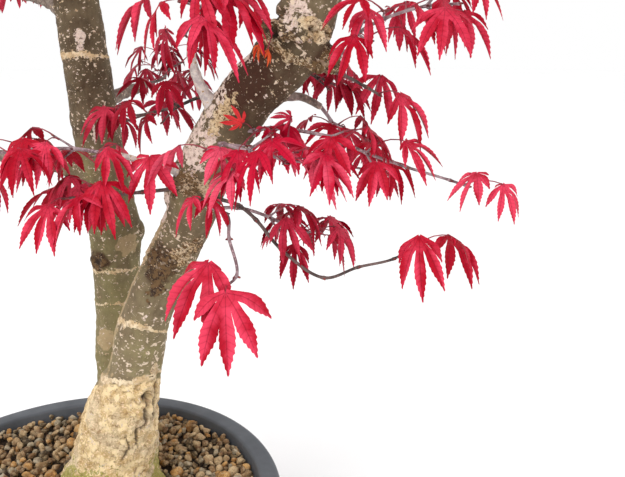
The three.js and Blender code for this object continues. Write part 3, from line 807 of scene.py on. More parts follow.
def wood_of(trunk):
    """One trunk with its stubs and boughs as a single skin, and the rings it was made from."""
    shape = bmesh.new()
    grown = {trunk: sections(limbs[trunk], 5)}
    add_limb(shape, grown[trunk], TRUNK_SIDES, FLARES[trunk])
    for height, bearing, rise, length, radius in TRUNKS[trunk]["stubs"]:
        walk = [
            (length - radius * 0.8, bearing, rise, radius), (radius * 0.45, bearing, rise, radius * 1.08),
            (radius * 0.35, bearing, rise, radius * 0.6),
        ]
        stub = limb_from(at_height(limbs[trunk], height), radius * 0.8, walk)
        add_limb(shape, sections(stub, 2), STUB_SIDES)
    for name, (height, _, _) in BOUGHS[trunk].items():
        grown[name] = collared(sections(limbs[name], 2.5), radius_at(trunk, height))
        add_limb(shape, grown[name], BOUGH_SIDES)
    bmesh.ops.recalc_face_normals(shape, faces=shape.faces)
    skin = shaped(shape, trunk + "_bark")
    merge = skin.modifiers.new("one skin", "REMESH")
    merge.mode = "VOXEL"
    merge.voxel_size = BARK_STEP * MM
    soften = skin.modifiers.new("fillets", "SMOOTH")
    soften.iterations = 5
    return applied(skin), grown


def nearest_ring(points, centres, radii):
    """For each point on the bark, which ring of which limb it belongs to."""
    best = np.empty(len(points), int)
    for start in range(0, len(points), BATCH):
        part = slice(start, start + BATCH)
        apart = np.linalg.norm(points[part, None] - centres[None], axis=2)
        best[part] = np.argmin(apart - radii, axis=1)
    return best


def soft(values, low, high):
    """0 at low and 1 at high, with a soft step between."""
    share = np.clip((values - low) / (high - low), 0, 1)
    return share * share * (3 - 2 * share)


def between_bearings(first, second):
    return (first - second + 180) % 360 - 180


def triples(rows, field):
    values = np.empty(3 * len(rows))
    rows.foreach_get(field, values)
    return values.reshape(-1, 3)


def waves(degrees):
    return np.cos(np.radians(degrees))


class Bark:
    """The bark of a trunk with its boughs: where each point lies on the wood, how far it is pushed
    out, and the marks that colour it."""

    def __init__(self, trunk, points, grown):
        rows = {key: np.concatenate([rings[key] for rings in grown.values()]) for key in grown[trunk]}
        best = nearest_ring(points, rows["centres"], rows["radii"])
        offset = points - rows["centres"][best]
        over, out_a, out_b = (
            np.einsum("ij,ij->i", offset, rows[key][best]) for key in ("ways", "across", "over")
        )
        owner = np.repeat(np.arange(len(grown)), [len(rings["radii"]) for rings in grown.values()])[best]
        self.trunk = trunk
        self.main = np.array([name == trunk for name in grown])[owner]
        self.silver = np.array([SILVERY.get(name, 0.0) for name in grown])[owner]
        self.along = rows["along"][best] + over
        self.radius = rows["radii"][best]
        self.bearing = np.degrees(np.arctan2(offset[:, 1], offset[:, 0]))
        self.grain = np.column_stack([out_a, out_b, self.along + APART * ~self.main])
        self.height = points[:, 2] - TRUNK_START
        self.thin = np.clip(self.radius / THICK, 0.12, 1)
        self.rough = lumps(self.grain, 2.6, 5)
        self.coarse = lumps(self.grain, 6, 6)
        self.push = np.zeros(len(points))
        self.marks = {name: np.zeros(len(points)) for name in MARKS}

    def lumps(self, size, seed, along=1, around=1):
        """Lumps about so large, squeezed or stretched along the limb and around it."""
        return lumps(self.grain * (around, around, along), size, seed)

    def mark(self, name, values):
        self.marks[name] = np.maximum(self.marks[name], values)

    def away(self, place, turn, length, width):
        """How far each point is from a mark's middle, as a share of the mark's size."""
        side = np.radians(between_bearings(self.bearing, turn)) * self.radius
        return np.hypot((self.along - place) / length, side / width)

    def add_swells(self):
        """The wood's unevenness, broad and fine, which thin boughs have less of."""
        self.push += self.thin * (self.lumps(26, 1) + 0.45 * self.lumps(9, 2, 0.5))
        self.push += np.minimum(1, self.thin * 2) * (0.3 * self.lumps(3.4, 3, 0.6))
        self.push += 0.24 * self.thin * self.lumps(9, 4, 3)

    def add_rings(self):
        feather = self.lumps(2.8, 11, 0.3)
        for place, rise_to, rise, width, strength, widest in RINGS[self.trunk]:
            centre = place + rise * waves(self.bearing - rise_to) + 1.6 * self.lumps(12, 7, 0)
            share = 0.35 + 0.65 * soft(waves(self.bearing - widest), -0.2, 0.95)
            away = self.along - centre + 0.9 * feather * share
            away = away / (width * share * (1 + 0.5 * self.coarse))
            band = np.exp(-(away**2)) * self.main * strength
            self.push += band * (0.35 + 0.5 * self.rough)
            self.mark("cream", band)

    def add_burrs(self):
        for *spot, height in BURRS[self.trunk]:
            hump = np.exp(-(self.away(*spot) ** 2)) * self.main
            self.push += height * hump * (1 + 0.35 * self.coarse)

    def add_calluses(self):
        crumbs = 0.55 * np.abs(self.rough) + 0.4 * self.lumps(1.7, 8)
        for *spot, height, roughness, share in CALLUSES[self.trunk]:
            away = self.away(*spot) + 0.4 * self.coarse + 0.25 * self.rough
            swell = soft(-away, -1.15, -0.5) * self.main
            self.push += swell * (height * 0.7 + roughness * crumbs)
            self.marks["crust"] = np.where(swell > self.marks["crumb"], share, self.marks["crust"])
            self.mark("crumb", swell)

    def add_patches(self):
        for name, spots, ragged in (("pale", PATCHES, 0.45), ("tan", TAN, 0.4)):
            for spot in spots[self.trunk]:
                away = self.away(*spot) + ragged * self.coarse
                self.mark(name, soft(-away, -1.3, -0.6) * self.main)
        for *spot, depth in STAINS[self.trunk]:
            away = self.away(*spot) + 0.35 * self.coarse
            self.mark("stain", depth * soft(-away, -1.5, -0.5) * self.main)

    def add_fissures(self):
        """Cracks along the grain, with a raised lip on each side."""
        wander = 3.0 * self.lumps(9, 9, around=0) + 0.6 * self.rough
        for first, last, turn, width, depth in FISSURES[self.trunk]:
            line = np.radians(between_bearings(self.bearing, turn)) * self.radius + wander
            line = np.abs(line) / (width * (0.7 + 0.6 * (self.coarse + 0.5)))
            reach = soft(self.along, first - 4, first + 6) * soft(-self.along, -last - 5, -last + 4)
            crack = np.exp(-(line**2)) * reach * self.main
            lips = np.exp(-((line - 2.1) ** 2)) * reach * self.main
            self.push += depth * (0.3 * lips - crack)
            self.mark("dark", soft(crack, 0.2, 0.75) * 0.8)

    def add_knots(self):
        """Folds of callus round a dark hollow, where a shoot was lost."""
        for *spot, depth, lip in KNOTS[self.trunk]:
            away = self.away(*spot) + 0.12 * self.rough
            near = self.main * (away < 5)
            folds = np.cos((away - 1.3) * 4.2) * np.exp(-np.abs(away - 1.3) / 1.4)
            hollow = soft(-away, -0.95, -0.3) * near
            self.push += lip * folds * near * (1 + 0.3 * self.rough) * (away > 0.6) - depth * hollow
            self.mark("cream", LIP_CREAM[self.trunk] * np.clip(folds, 0, 1) * near)
            self.marks["cream"] = self.marks["cream"] * (1 - hollow)
            self.mark("dark", hollow)

    def add_foot(self):
        """Pale rough bark over the root flare, with moss low on its shaded sides."""
        foot = FEET[self.trunk]
        top = foot["top"] + foot["slant"] * waves(self.bearing - foot["bearing"])
        below = top - self.along + foot["ragged"] * self.coarse
        self.marks["foot"] = soft(below, *foot["edge"]) * self.main
        for place, bearing, length, depth in WAISTS[self.trunk]:
            side = soft(waves(self.bearing - bearing), 0.3, 0.95) * self.main
            self.push -= depth * np.exp(-(((self.along - place) / length) ** 2)) * side
        scales = 0.7 * self.coarse + 0.5 * self.rough + 0.7 * self.lumps(4.2, 12)
        self.push += self.marks["foot"] * scales
        shaded = np.maximum(waves(self.bearing + 125), waves(self.bearing - 25)) + 0.4 * self.coarse
        low = self.marks["foot"] * soft(MOSS_TOP - self.height, -8, 24)
        self.marks["moss"] = low * soft(shaded, 0.3, 0.95)

    def add_nodes(self):
        """A swelling at each node of the boughs, and the silvery face of a sawn stub."""
        nodes = (self.along + 2 * self.lumps(9, 14, around=0)) % NODE_GAP - NODE_GAP / 2
        swell = ~self.main * np.exp(-((nodes / 1.3) ** 2)) * np.clip(self.radius / 4, 0.3, 1.2)
        self.push += swell * (0.5 + 0.5 * self.coarse)
        for *spot, height in STUB_FACES[self.trunk]:
            face = soft(-self.away(*spot), -1, -0.35) * self.main
            self.push += height * face
            self.silver = np.maximum(self.silver, face)

    def add_tones(self):
        """What changes slowly along the wood: how light, how flecked, how green and how silvery."""
        # Painted shade: the shade level darkens the main trunk upward, over the bark's own changes in
        # tone.
        shade, fleck = (np.interp(self.along, *zip(*rows[self.trunk])) for rows in (SHADES, FLECKS))
        self.marks["shade"] = np.where(self.main, shade, 0.5)
        self.marks["fleck"] = np.where(self.main, fleck, 0.3)
        self.marks["green"] = GREENNESS[self.trunk] * self.main * soft(250 - self.along, -30, 40)
        self.marks["wood"] = self.thin
        self.marks["silver"] = self.silver


def add_bark(trunk):
    """The bark's relief, pushed out of the skin, and what colours it, as numbers at its points."""
    skin, grown = wood_of(trunk)
    mesh = skin.data
    points = triples(mesh.vertices, "co") / MM
    bark = Bark(trunk, points, grown)
    bark.add_swells()
    bark.add_rings()
    bark.add_burrs()
    bark.add_calluses()
    bark.add_patches()
    bark.add_fissures()
    bark.add_knots()
    bark.add_foot()
    bark.add_nodes()
    bark.add_tones()
    push = bark.push * (soft(bark.height, -1, 3) * 0.8 + 0.2)
    points += triples(mesh.vertex_normals, "vector") * push[:, None]
    mesh.vertices.foreach_set("co", (points * MM).astype(np.float32).ravel())
    for name, values in bark.marks.items():
        mesh.attributes.new(name, "FLOAT", "POINT").data.foreach_set("value", values.astype(np.float32))
    vectors = mesh.attributes.new("grain", "FLOAT_VECTOR", "POINT")
    vectors.data.foreach_set("vector", (bark.grain * MM).astype(np.float32).ravel())
    mesh.shade_smooth()
    return skin


bark = Finish("maple bark", IOR=1.4)
grain = bark.attribute("grain", "Vector")
broad = bark.noise(22, grain, detail=2)
cloudy = bark.noise(7, grain, detail=4)
mottle = bark.noise(2.6, grain, detail=3, roughness=0.6)
flakes = bark.noise(1.7, bark.stretched(grain, (1, 1, 1.8)), detail=4, roughness=0.6)
streaks = bark.noise(2.2, bark.stretched(grain, (1, 1, 0.18)), detail=4)
fine = bark.noise(0.5, grain, detail=3)
# Painted shade from the shade level, with the bark's own broad tones, sets how light the bark is.
shade = bark.attribute("shade") + (broad - 0.5) * 0.7 + (streaks - 0.5) * 0.4 + (cloudy - 0.5) * 0.6
olive = bark.mix(shade.above(0.5, 0.75), tone(66, 50, 34), tone(156, 140, 108))
green = (bark.attribute("green") + (broad - 0.5) * 1.8).above(0.5, 0.4)
greenish = bark.mix(shade.above(0.5, 0.75), tone(68, 62, 30), tone(144, 138, 86))
olive = bark.mix(green * 0.55, olive, greenish)
tanned = (bark.attribute("tan") + (cloudy - 0.5) * 1.8 + (mottle - 0.5)).above(0.5, 0.16)
olive = bark.mix(tanned * 0.6, olive, tone(192, 166, 126))
stained = (bark.attribute("stain") + (mottle - 0.5) * 0.5).above(0.5, 0.45)
olive = bark.mix(stained * 0.92, olive, tone(64, 34, 20))
twiggy = bark.mix(mottle.above(0.5, 0.2), tone(104, 88, 80), tone(150, 136, 124))
silver = bark.mix(mottle.above(0.5, 0.15), tone(176, 164, 162), tone(212, 202, 194))
twiggy = bark.mix((bark.attribute("silver") + (cloudy - 0.5) * 0.6).above(0.45, 0.2), twiggy, silver)
olive = bark.mix(bark.attribute("wood").above(0.47, 0.1), twiggy, olive)
olive = bark.mix(bark.attribute("silver").above(0.7, 0.2), olive, silver)
foot_mix = bark.mix(cloudy.above(0.48, 0.1), tone(188, 158, 108), tone(234, 210, 162))
foot_mix = bark.mix(broad.above(0.54, 0.08) * 0.5, foot_mix, tone(190, 174, 150))
foot_mix = bark.mix(flakes.above(0.58, 0.06), foot_mix, tone(240, 212, 176))
foot_mix = bark.mix(mottle.above(0.6, 0.05) * 0.7, foot_mix, tone(140, 110, 72))
creases = (cloudy - 0.5) * (cloudy - 0.5) + (streaks - 0.5) * (streaks - 0.5) * 0.25
foot_mix = bark.mix((0.0008 - creases).above(0, 0.0006) * 0.4, foot_mix, tone(120, 90, 56))
moss = (bark.attribute("moss") + (mottle - 0.5) * 2.2 + (cloudy - 0.5) * 1.2).above(0.48, 0.1)
mossy = bark.mix(fine.above(0.5, 0.1), tone(120, 118, 44), tone(176, 166, 84))
foot_mix = bark.mix(moss * 0.85, foot_mix, mossy)
skin_tone = bark.mix((bark.attribute("foot") + (cloudy - 0.5) * 1.1).above(0.5, 0.14), olive, foot_mix)
ashen = bark.mix(mottle.above(0.5, 0.15), tone(190, 166, 154), tone(224, 206, 192))
ragged = (cloudy - 0.5) * 1.9 + (mottle - 0.5) * 2.2 + (flakes - 0.5) * 1.2
pale_edge = (bark.attribute("pale") * 0.68 + ragged).above(0.5, 0.05)
skin_tone = bark.mix(pale_edge, skin_tone, ashen)
warm = bark.mix(cloudy.above(0.5, 0.12), tone(232, 212, 178), tone(206, 178, 136))
warm = bark.mix(mottle.above(0.57, 0.05) * 0.55, warm, tone(150, 120, 88))
crumbs = bark.mix(mottle.above(0.52, 0.06), tone(112, 86, 56), tone(58, 42, 30))
crumbly = mottle * 0.4 + flakes * 0.35 + fine * 0.25 + bark.attribute("crust") * 0.16
crumbs = bark.mix(crumbly.above(0.6, 0.03), crumbs, warm)
crumb_edge = (bark.attribute("crumb") + (flakes - 0.5) * 1.6 + (mottle - 0.5) * 0.9).above(0.5, 0.06)
skin_tone = bark.mix(crumb_edge, skin_tone, crumbs)
cream_edge = (bark.attribute("cream") + (flakes - 0.5) * 2.0 + (mottle - 0.5) * 2.0).above(0.45, 0.05)
skin_tone = bark.mix(cream_edge, skin_tone, warm)
specks = bark.noise(3.4, bark.stretched(grain, (1, 1, 1.3)), detail=1.5)
flecks = (specks * 0.72 + flakes * 0.28 + bark.attribute("fleck") * 0.1).above(0.668, 0.012)
skin_tone = bark.mix(flecks * (0.92 - crumb_edge * 0.7), skin_tone, tone(224, 204, 180))
skin_tone = bark.mix(bark.attribute("dark"), skin_tone, tone(48, 34, 24))
pores = flakes * 0.5 + mottle * 0.6 + fine * 0.25
crusts = cream_edge * 0.35 + flecks * 0.3 + crumb_edge * flakes
bark.wear(skin_tone, 0.78 + fine * 0.14 - cream_edge * 0.04, bark.bump(pores + crusts, 0.5))
for trunk, boughs in BOUGHS.items():
    finished(add_bark(trunk), bark, [trunk, *boughs])

# --- Sprays ---------------------------------------------------------------------------------
# Thin year-old twigs, greyish mauve or dark brown, with a swollen node and a pair of buds at each
# joint. Opposite pairs of leaves grow at the nodes and hang from long wine-red stalks.

# Sprays: name, the limb they grow on, the height where a trunk bears them, the stem's steps of
# length, bearing and rise, and how far the pair of side twigs reaches at each of its nodes.
SPRAYS = [
    ("spray_left_low", "bough_left_low", None,
     [(7, 184, 6), (20, 178, 8), (24, 188, 0), (24, 180, -6), (18, 176, -6)], [12, 14, 18, 18]),
    ("spray_left_front", "trunk_main", 361, [(40, 222, 3), (22, 204, 0), (24, 184, -3)], [0, 12]),
    ("spray_front", "trunk_main", 388,
     [(34, -75, 9), (18, -38, -6), (18, -8, -12), (16, 8, -12)], [14, 14, 12]),
    ("spray_hanging", "trunk_main", 349,
     [(32, -44, -2), (30, -80, -14), (30, -76, -28), (10, -150, -34)], [0, 0, 0]),
    ("spray_reach", "trunk_main", 355,
     [(36, -36, -3), (14, -20, -35), (24, -18, -47), (31, -11, -32), (22, 0, 18), (22, 0, 14),
      (22, -30, 38)],
     [0, 0, 0, 0, 0, 0]),
    ("spray_inner", "trunk_main", 343,
     [(32, -14, 9), (21, -3, -16), (22, 16, -30), (15, 4, 0)], [0, 10, 10]),
    ("spray_arch", "trunk_main", 397,
     [(25, -40, 5), (11, -20, 10), (35, -3, -8), (24, 5, -24), (26, 5, -20), (28, 1, -17),
      (12, -35, -12)],
     [0, 0, 12, 10, 0, 0]),
    ("spray_hook", "bough_hook", None,
     [(12, 30, -52), (22, 50, -70), (16, 15, -46), (12, -5, -10)], [10, 14, 0]),
    ("spray_behind", "trunk_main", 432, [(36, 76, 4), (20, 40, -16), (18, 18, -24)], [16, 14]),
    ("spray_burr_up", "trunk_main", 440,
     [(35, -9, 7), (14, -46, 46), (18, -34, 26), (24, -14, 16), (18, 6, 4)], [0, 12, 16, 14]),
    ("spray_burr_out", "trunk_main", 440, [(31, 7, -14), (20, 10, -26), (10, 4, -30)], [0, 0]),
    ("spray_fork", "bough_fork", None, [(14, 285, 6), (14, 262, -20), (12, 250, -24)], [14, 12]),
    ("spray_back_twig", "trunk_main", 413,
     [(36, 142, 4), (16, 186, -20), (24, 156, -14), (20, 166, -18)], [0, 14, 14]),
    ("spray_elbow", "trunk_main", 358, [(24, -76, -4), (10, -72, 0)], [0]),
]
# Sprays whose leaves are larger or smaller than most.
LEAF_SCALES = {
    "spray_hanging": 1.36, "spray_left_front": 1.1, "spray_burr_out": 1.15, "spray_elbow": 0.84,
    "spray_front": 0.88, "spray_arch": 0.9, "spray_inner": 0.92, "spray_hook": 0.86,
    "spray_left_low": 0.92, "spray_burr_up": 0.9, "spray_behind": 0.84, "spray_back_twig": 0.78,
    "spray_fork": 1.06,
}
# How often there are leaves between two nodes, on most sprays and on the sparser ones.
MOST_FULLNESS = 0.3
FULLNESS = {
    "spray_arch": 0, "spray_hanging": 0, "spray_hook": 0, "spray_burr_up": 0, "spray_back_twig": 0,
    "spray_fork": 0.2,
}
# Twigs: the radius that each kind starts and ends with.
STEM_RADII = (1.3, 0.75)
SIDE_RADII = (0.8, 0.55)
FINE_RADII = (0.6, 0.42)
# A stem that runs on from the tip of a limb.
ONWARD = {"steps": 3, "length": 23, "side": 22, "sway": 24, "lift": (-2, 18)}
# A pair of side twigs lies level or stands upright: its swing and its lift, in degrees.
LEVEL_PAIR = (56, 4)
UPRIGHT_PAIR = (22, 38)
JITTER = 9
SIDE_REACHES = (0.85, 1.2)
FINE_LENGTHS = (8, 13)
TWIG_ROOM = 2
NODE_SWELL = 1.3
# The leaves between two nodes: how small they are on a fine twig, a side twig and a stem.
SMALL_LEAVES = {"fine": (0.75, 0.95), "side": (0.7, 0.92), "stem": (0.75, 1.0)}
# Seeds of a spray: the first spray's, and the step from one spray to the next.
SPRAY_SEEDS = (301, 97)
FINE_SEEDS = (7919, 31)
SEED_FACTOR = 16807
SEED_LIMIT = 2147483647
# How a leaf hangs: its stalk's length and angles, its blade's, its size, each between two limits.
LEAF_STALK = (17, 22)
LEAF_SPREAD = 64
LEAF_LIFT = (-2, 34)
LEAF_HANG = (-52, -28)
LEAF_VEER = 14
LEAF_SIZES = (0.82, 1.1)
LEAF_SINKS = (1.2, 3.4)


def seeded(seed):
    """A repeatable source of numbers between two limits."""
    state = seed

    def draw(low, high):
        nonlocal state
        state = state * SEED_FACTOR % SEED_LIMIT
        return low + (high - low) * state / SEED_LIMIT

    return draw


def rise_of(way):
    return math.degrees(math.asin(way[2] / np.linalg.norm(way)))


wood_rings = [sections(limb, 3) for limb in limbs.values()]
wood_centres = np.concatenate([rings["centres"] for rings in wood_rings])
wood_radii = np.concatenate([rings["radii"] for rings in wood_rings])


def clear_of_wood(points, room):
    apart = np.linalg.norm(points[:, None] - wood_centres[None], axis=2) - wood_radii
    return apart.min() > room


def leaf_pair(end, way, scale, draw):
    """Two leaves at a twig's end: where each stalk starts and ends, and how its blade hangs."""
    pair = []
    for hand, sink in zip((-1, 1), LEAF_SINKS):
        bearing = bearing_of(way) + hand * (LEAF_SPREAD + draw(-JITTER, JITTER))
        stalk = heading(bearing, draw(*LEAF_LIFT))
        node = end - way * sink
        joint = node + stalk * draw(*LEAF_STALK)
        veer = draw(-LEAF_VEER, LEAF_VEER)
        ahead = heading(bearing + veer, draw(*LEAF_HANG))
        pair.append({"node": node, "joint": joint, "ahead": ahead, "size": scale * draw(*LEAF_SIZES)})
    return pair


def side_pair(way, upright, draw):
    """The directions of the pair of side twigs at a node."""
    swing, lift = UPRIGHT_PAIR if upright else LEVEL_PAIR
    ways = []
    for hand in (-1, 1):
        bearing = bearing_of(way) + hand * (swing + draw(-JITTER, JITTER))
        ways.append(heading(bearing, rise_of(way) * 0.5 + hand * lift + draw(-JITTER, JITTER)))
    return ways


def onward_stem(way, draw):
    """The walk of a stem that runs on from a limb's tip."""
    bearing, rise, stem = bearing_of(way), min(40, rise_of(way)), []
    for _ in range(ONWARD["steps"]):
        bearing += draw(-ONWARD["sway"], ONWARD["sway"])
        rise = rise * 0.6 + draw(*ONWARD["lift"])
        stem.append((ONWARD["length"], bearing, rise))
    return stem


def tube(centres, radii, sides):
    """A thin round twig through its centres, as points and triangles, with a closed tip."""
    centres = np.asarray(centres, float)
    ways = np.gradient(centres, axis=0)
    ways /= np.linalg.norm(ways, axis=1)[:, None]
    across = np.eye(3)[np.argmin(np.abs(ways[0]))]
    turns = 2 * np.pi * np.arange(sides) / sides
    points = []
    for centre, radius, way in zip(centres, radii, ways):
        across = across - way * (across @ way)
        across /= np.linalg.norm(across)
        over = np.cross(way, across)
        points.append(centre + radius * (np.outer(np.cos(turns), across) + np.outer(np.sin(turns), over)))
    points = np.concatenate([*points, [centres[-1] + ways[-1] * radii[-1] * 0.7]])
    last = len(points) - 1
    here = np.arange(sides)
    there = (here + 1) % sides
    rings = []
    for start in range(0, last - sides, sides):
        rings.append(np.column_stack([here, there, there + sides]) + start)
        rings.append(np.column_stack([here, there + sides, here + sides]) + start)
    rings.append(np.column_stack([here + last - sides, there + last - sides, np.full(sides, last)]))
    return points, np.concatenate(rings)


def twig_tube(start, way, reach, radii, draw, sides=5):
    """A side twig: it bows a little to one side and thickens where it leaves the stem."""
    shares = np.linspace(0, 1, 7)
    bow = np.array([draw(-0.05, 0.05), draw(-0.05, 0.05), 0.0])
    centres = start + np.outer(shares * reach, way) + np.outer(np.sin(np.pi * shares) * reach, bow)
    widths = radii[0] + (radii[1] - radii[0]) * shares
    widths = widths * (1 + 0.5 * np.exp(-shares * 9) + 0.35 * np.exp(-((shares - 1) * 9) ** 2))
    return tube(centres, widths, sides)


def stem_tube(limb):
    """A stem with a swelling at each of its nodes."""
    rings = sections(limb, 1.6)
    swell = 0
    for node in limb["points"][1:]:
        place = rings["along"][np.argmin(np.linalg.norm(rings["centres"] - node, axis=1))]
        swell = swell + np.exp(-(((rings["along"] - place) / NODE_SWELL) ** 2))
    return tube(rings["centres"], rings["radii"] * (1 + 0.4 * swell), 7)


bud_points, bud_faces = ball_of(1)


def buds_at(place, way):
    """A pair of small pointed buds, one on each side of a node."""
    side = np.cross(way, (0, 0, 1.0))
    side = side / (np.linalg.norm(side) + 1e-9)
    pair = []
    for hand in (-1, 1):
        lean = hand * side * 0.8 + way * 0.6
        lean /= np.linalg.norm(lean)
        stretched = bud_points * 0.75 + np.outer(bud_points @ lean, lean) * 0.75
        pair.append((stretched + place + hand * side * 1.2 + way * 0.7, bud_faces))
    return pair


def grow(name, order, carrier, height, stem, sides):
    """One spray: its wood, its buds and its leaves, by the rule and the seed of its own place."""
    draw = seeded(SPRAY_SEEDS[0] + SPRAY_SEEDS[1] * order)
    onward = stem is None
    if onward:
        stem = onward_stem(way_at(limbs[carrier], 1), draw)
        sides = [ONWARD["side"]] * (len(stem) - 1)
    start = at_height(limbs[carrier], height) if height else limbs[carrier]["points"][-1]
    walk = []
    for step, (length, bearing, rise) in enumerate(stem):
        share = (step + 1) / len(stem)
        walk.append((length, bearing, rise, STEM_RADII[0] + (STEM_RADII[1] - STEM_RADII[0]) * share))
    limb = limb_from(start, STEM_RADII[0], walk)
    finer = seeded(FINE_SEEDS[0] + FINE_SEEDS[1] * order)
    wood, buds, leaves = [stem_tube(limb)], [], []
    scale = LEAF_SCALES.get(name, 1)
    fullness = FULLNESS.get(name, MOST_FULLNESS)
    points = limb["points"]
    for step, (last, end) in enumerate(zip(points, points[1:])):
        way = (end - last) / np.linalg.norm(end - last)
        buds += buds_at(end, way)
        if step == len(points) - 2:
            leaves += leaf_pair(end, way, scale, draw)
            continue
        if not sides[step]:
            continue
        for side in side_pair(way, step % 2 == 1, draw):
            reach = sides[step] * draw(*SIDE_REACHES)
            tip = end + side * reach
            pair = leaf_pair(tip, side, scale, draw)
            if not clear_of_wood(np.array([end + side * reach * 0.6, tip]), TWIG_ROOM):
                continue
            wood.append(twig_tube(end, side, reach, SIDE_RADII, finer))
            leaves += pair
            buds += buds_at(tip, side)
            middle = end + side * reach * 0.5
            if onward:
                for fine in side_pair(side, step % 2 == 0, finer):
                    length = finer(*FINE_LENGTHS)
                    wood.append(twig_tube(middle, fine, length, FINE_RADII, finer, 4))
                    small = finer(*SMALL_LEAVES["fine"])
                    leaves += leaf_pair(middle + fine * length, fine, small, finer)
            elif finer(0, 1) < fullness:
                leaves += leaf_pair(middle, side, finer(*SMALL_LEAVES["side"]), finer)
        if onward or finer(0, 1) < fullness:
            small = finer(*SMALL_LEAVES["stem"])
            leaves += leaf_pair(last + (end - last) * 0.75, way, small, finer)
    return wood, buds, leaves


# --- Leaves ---------------------------------------------------------------------------------
# Thin blades of five long lobes, some with two small ones more, joined over their inner quarter
# and toothed towards their tips. Each lobe is creased along its rib, and the leaf hangs half closed.

LEAF_LENGTH = 31
STALK_RADII = (0.42, 0.32)
# Room that a leaf keeps from the wood and from the next leaf, and where its heart lies.
LEAF_ROOM = 1.5
LEAF_GAP = 7
BLADE_HEART = 0.45
# Openings in the crown, where the sky shows between the sprays: middle and radius.
OPENINGS = [((74, -54, 451), 17), ((56, 214, 420), 30), ((84, 196, 424), 26), ((33, 226, 432), 19)]
# Lobes: bearing from the leaf's way, and length as a share of the longest.
LOBES = [(-120, 0.26), (-78, 0.66), (-38, 0.93), (0, 1.0), (38, 0.93), (78, 0.66), (120, 0.26)]
LOBE_JOIN = 0.26
SMALL_JOIN = 0.42
LOBE_ARC = 1.14
LOBE_SWAY = 5
LOBE_WIDTH = 0.112
LOBE_WIDENING = (0.88, 1.25)
LOBE_ROLL = 12
SEVEN_LOBED = 0.45
LEAF_DROOPS = (0.9, 2.3)
LEAF_FOLDS = (14, 36)
BLADE_ROLL = 0.22
COLLAR = 0.05
COLLAR_TURN = 2.75
TOOTH_LENGTH = 0.004
# How much each leaf's painted sheen varies at random.
SHEEN_SWAY = 0.2
# How wide a lobe is, from its join to its tip.
LOBE_OUTLINE = ([0, 0.14, 0.34, 0.5, 0.66, 0.8, 0.92, 1], [0.6, 0.84, 1.0, 0.9, 0.63, 0.36, 0.14, 0])
# Teeth on each side of a lobe, and different leaves, of the two kinds.
TEETH = {"near": 8, "crown": 2}
VARIANTS = {"near": 14, "crown": 10}
# The way a lobe's weight pulls it.
PULL = np.array([0.62, 0.0, -0.79])


def lobes_of(droop, random):
    """The turn, length and weight of each lobe, from one side of the stalk round to the other."""
    lobes = []
    for bearing, length in LOBES if random.random() < SEVEN_LOBED else LOBES[1:-1]:
        turn = math.radians(bearing + random.normal() * LOBE_SWAY)
        length *= LOBE_ARC * random.uniform(0.88 if abs(bearing) < 60 else 0.8, 1.07)
        lobes.append((turn, length, droop * random.uniform(0.75, 1.25)))
    return lobes


def rib_of(lobe, shares):
    """Where a lobe's rib runs, with its direction, as it bends under its weight."""
    turn, length, weight = lobe
    start = np.array([math.cos(turn), math.sin(turn), 0.04])
    spot, track, last = np.zeros(3), [], 0.0
    for share in shares:
        way = start + PULL * weight * ((share + last) / 2) ** 0.9
        way /= np.linalg.norm(way)
        spot = spot + way * length * (share - last)
        track.append((spot, way))
        last = share
    return track


def outward(way, turn, hand, tilt):
    """The direction from a lobe's rib to its edge, tilted up by the crease."""
    level = np.array([-math.sin(turn), math.cos(turn), 0.0])
    lateral = np.cross(np.cross(way, level), way) * hand
    lateral /= np.linalg.norm(lateral)
    up = np.cross(way, lateral * hand)
    return lateral * math.cos(tilt) + up * math.sin(tilt)


class Blade:
    """A leaf of unit length, its stalk's joint at the origin. Each point has three marks: how near
    it is to a rib, how much painted sheen its half of the lobe has, and its place among the side
    veins, which is a whole number where one of them runs."""

    def __init__(self):
        self.points = [np.zeros(3)]
        self.marks = [(1.0, 0.5, -2.5)]
        self.triangles = []

    def add(self, point, rib, pale, vein):
        self.points.append(point)
        self.marks.append((rib, pale, vein))
        return len(self.points) - 1

    def add_gaps(self, lobes):
        """The points where two lobes part, with one more on each side of the stalk."""
        gaps = []
        for pair in zip(lobes, lobes[1:]):
            reach = LOBE_JOIN * min(length for _, length, _ in pair) * 1.05
            near = [rib_of(lobe, np.linspace(0, reach / lobe[1], 4)[1:])[-1][0] for lobe in pair]
            middle = (near[0] + near[1]) / 2
            gaps.append(self.add(middle * (reach / np.linalg.norm(middle)) * 0.9, 0.2, 0.5, -0.5))
        collar = []
        for turn in (-COLLAR_TURN, COLLAR_TURN):
            side = np.array([math.cos(turn), math.sin(turn), 0])
            collar.append(self.add(COLLAR * side, 0.4, 0.5, -1.5))
        return [collar[0], *gaps, collar[1]]

    def add_half(self, hand, gap, middles, track, widths, turn, tilt, pale, tooth_length):
        """Half a lobe, from its rib to its edge, where every step ends in a tooth."""
        faces = [(0, middles[0], gap)]
        inner = gap
        count = len(track) - 1
        for step in range(count):
            last, (spot, way) = track[step][0], track[step + 1]
            out = outward(way, turn, hand, tilt)
            reach = (widths[step + 1] * 0.5 + widths[step] * 0.5) * (1.0 + 0.08 * min(1, step / 4))
            tooth_at = last + (spot - last) * 0.7
            tooth = self.add(tooth_at + out * (reach + tooth_length), 0.0, pale, step)
            faces.append((middles[step], tooth, inner))
            if step == count - 1:
                faces.append((middles[step], middles[step + 1], tooth))
            else:
                inner = self.add(spot + out * widths[step + 1] * 0.95, 0.0, pale, step + 0.5)
                faces.append((middles[step], inner, tooth))
                faces.append((middles[step], middles[step + 1], inner))
        self.triangles += faces if hand > 0 else [(a, c, b) for a, b, c in faces]


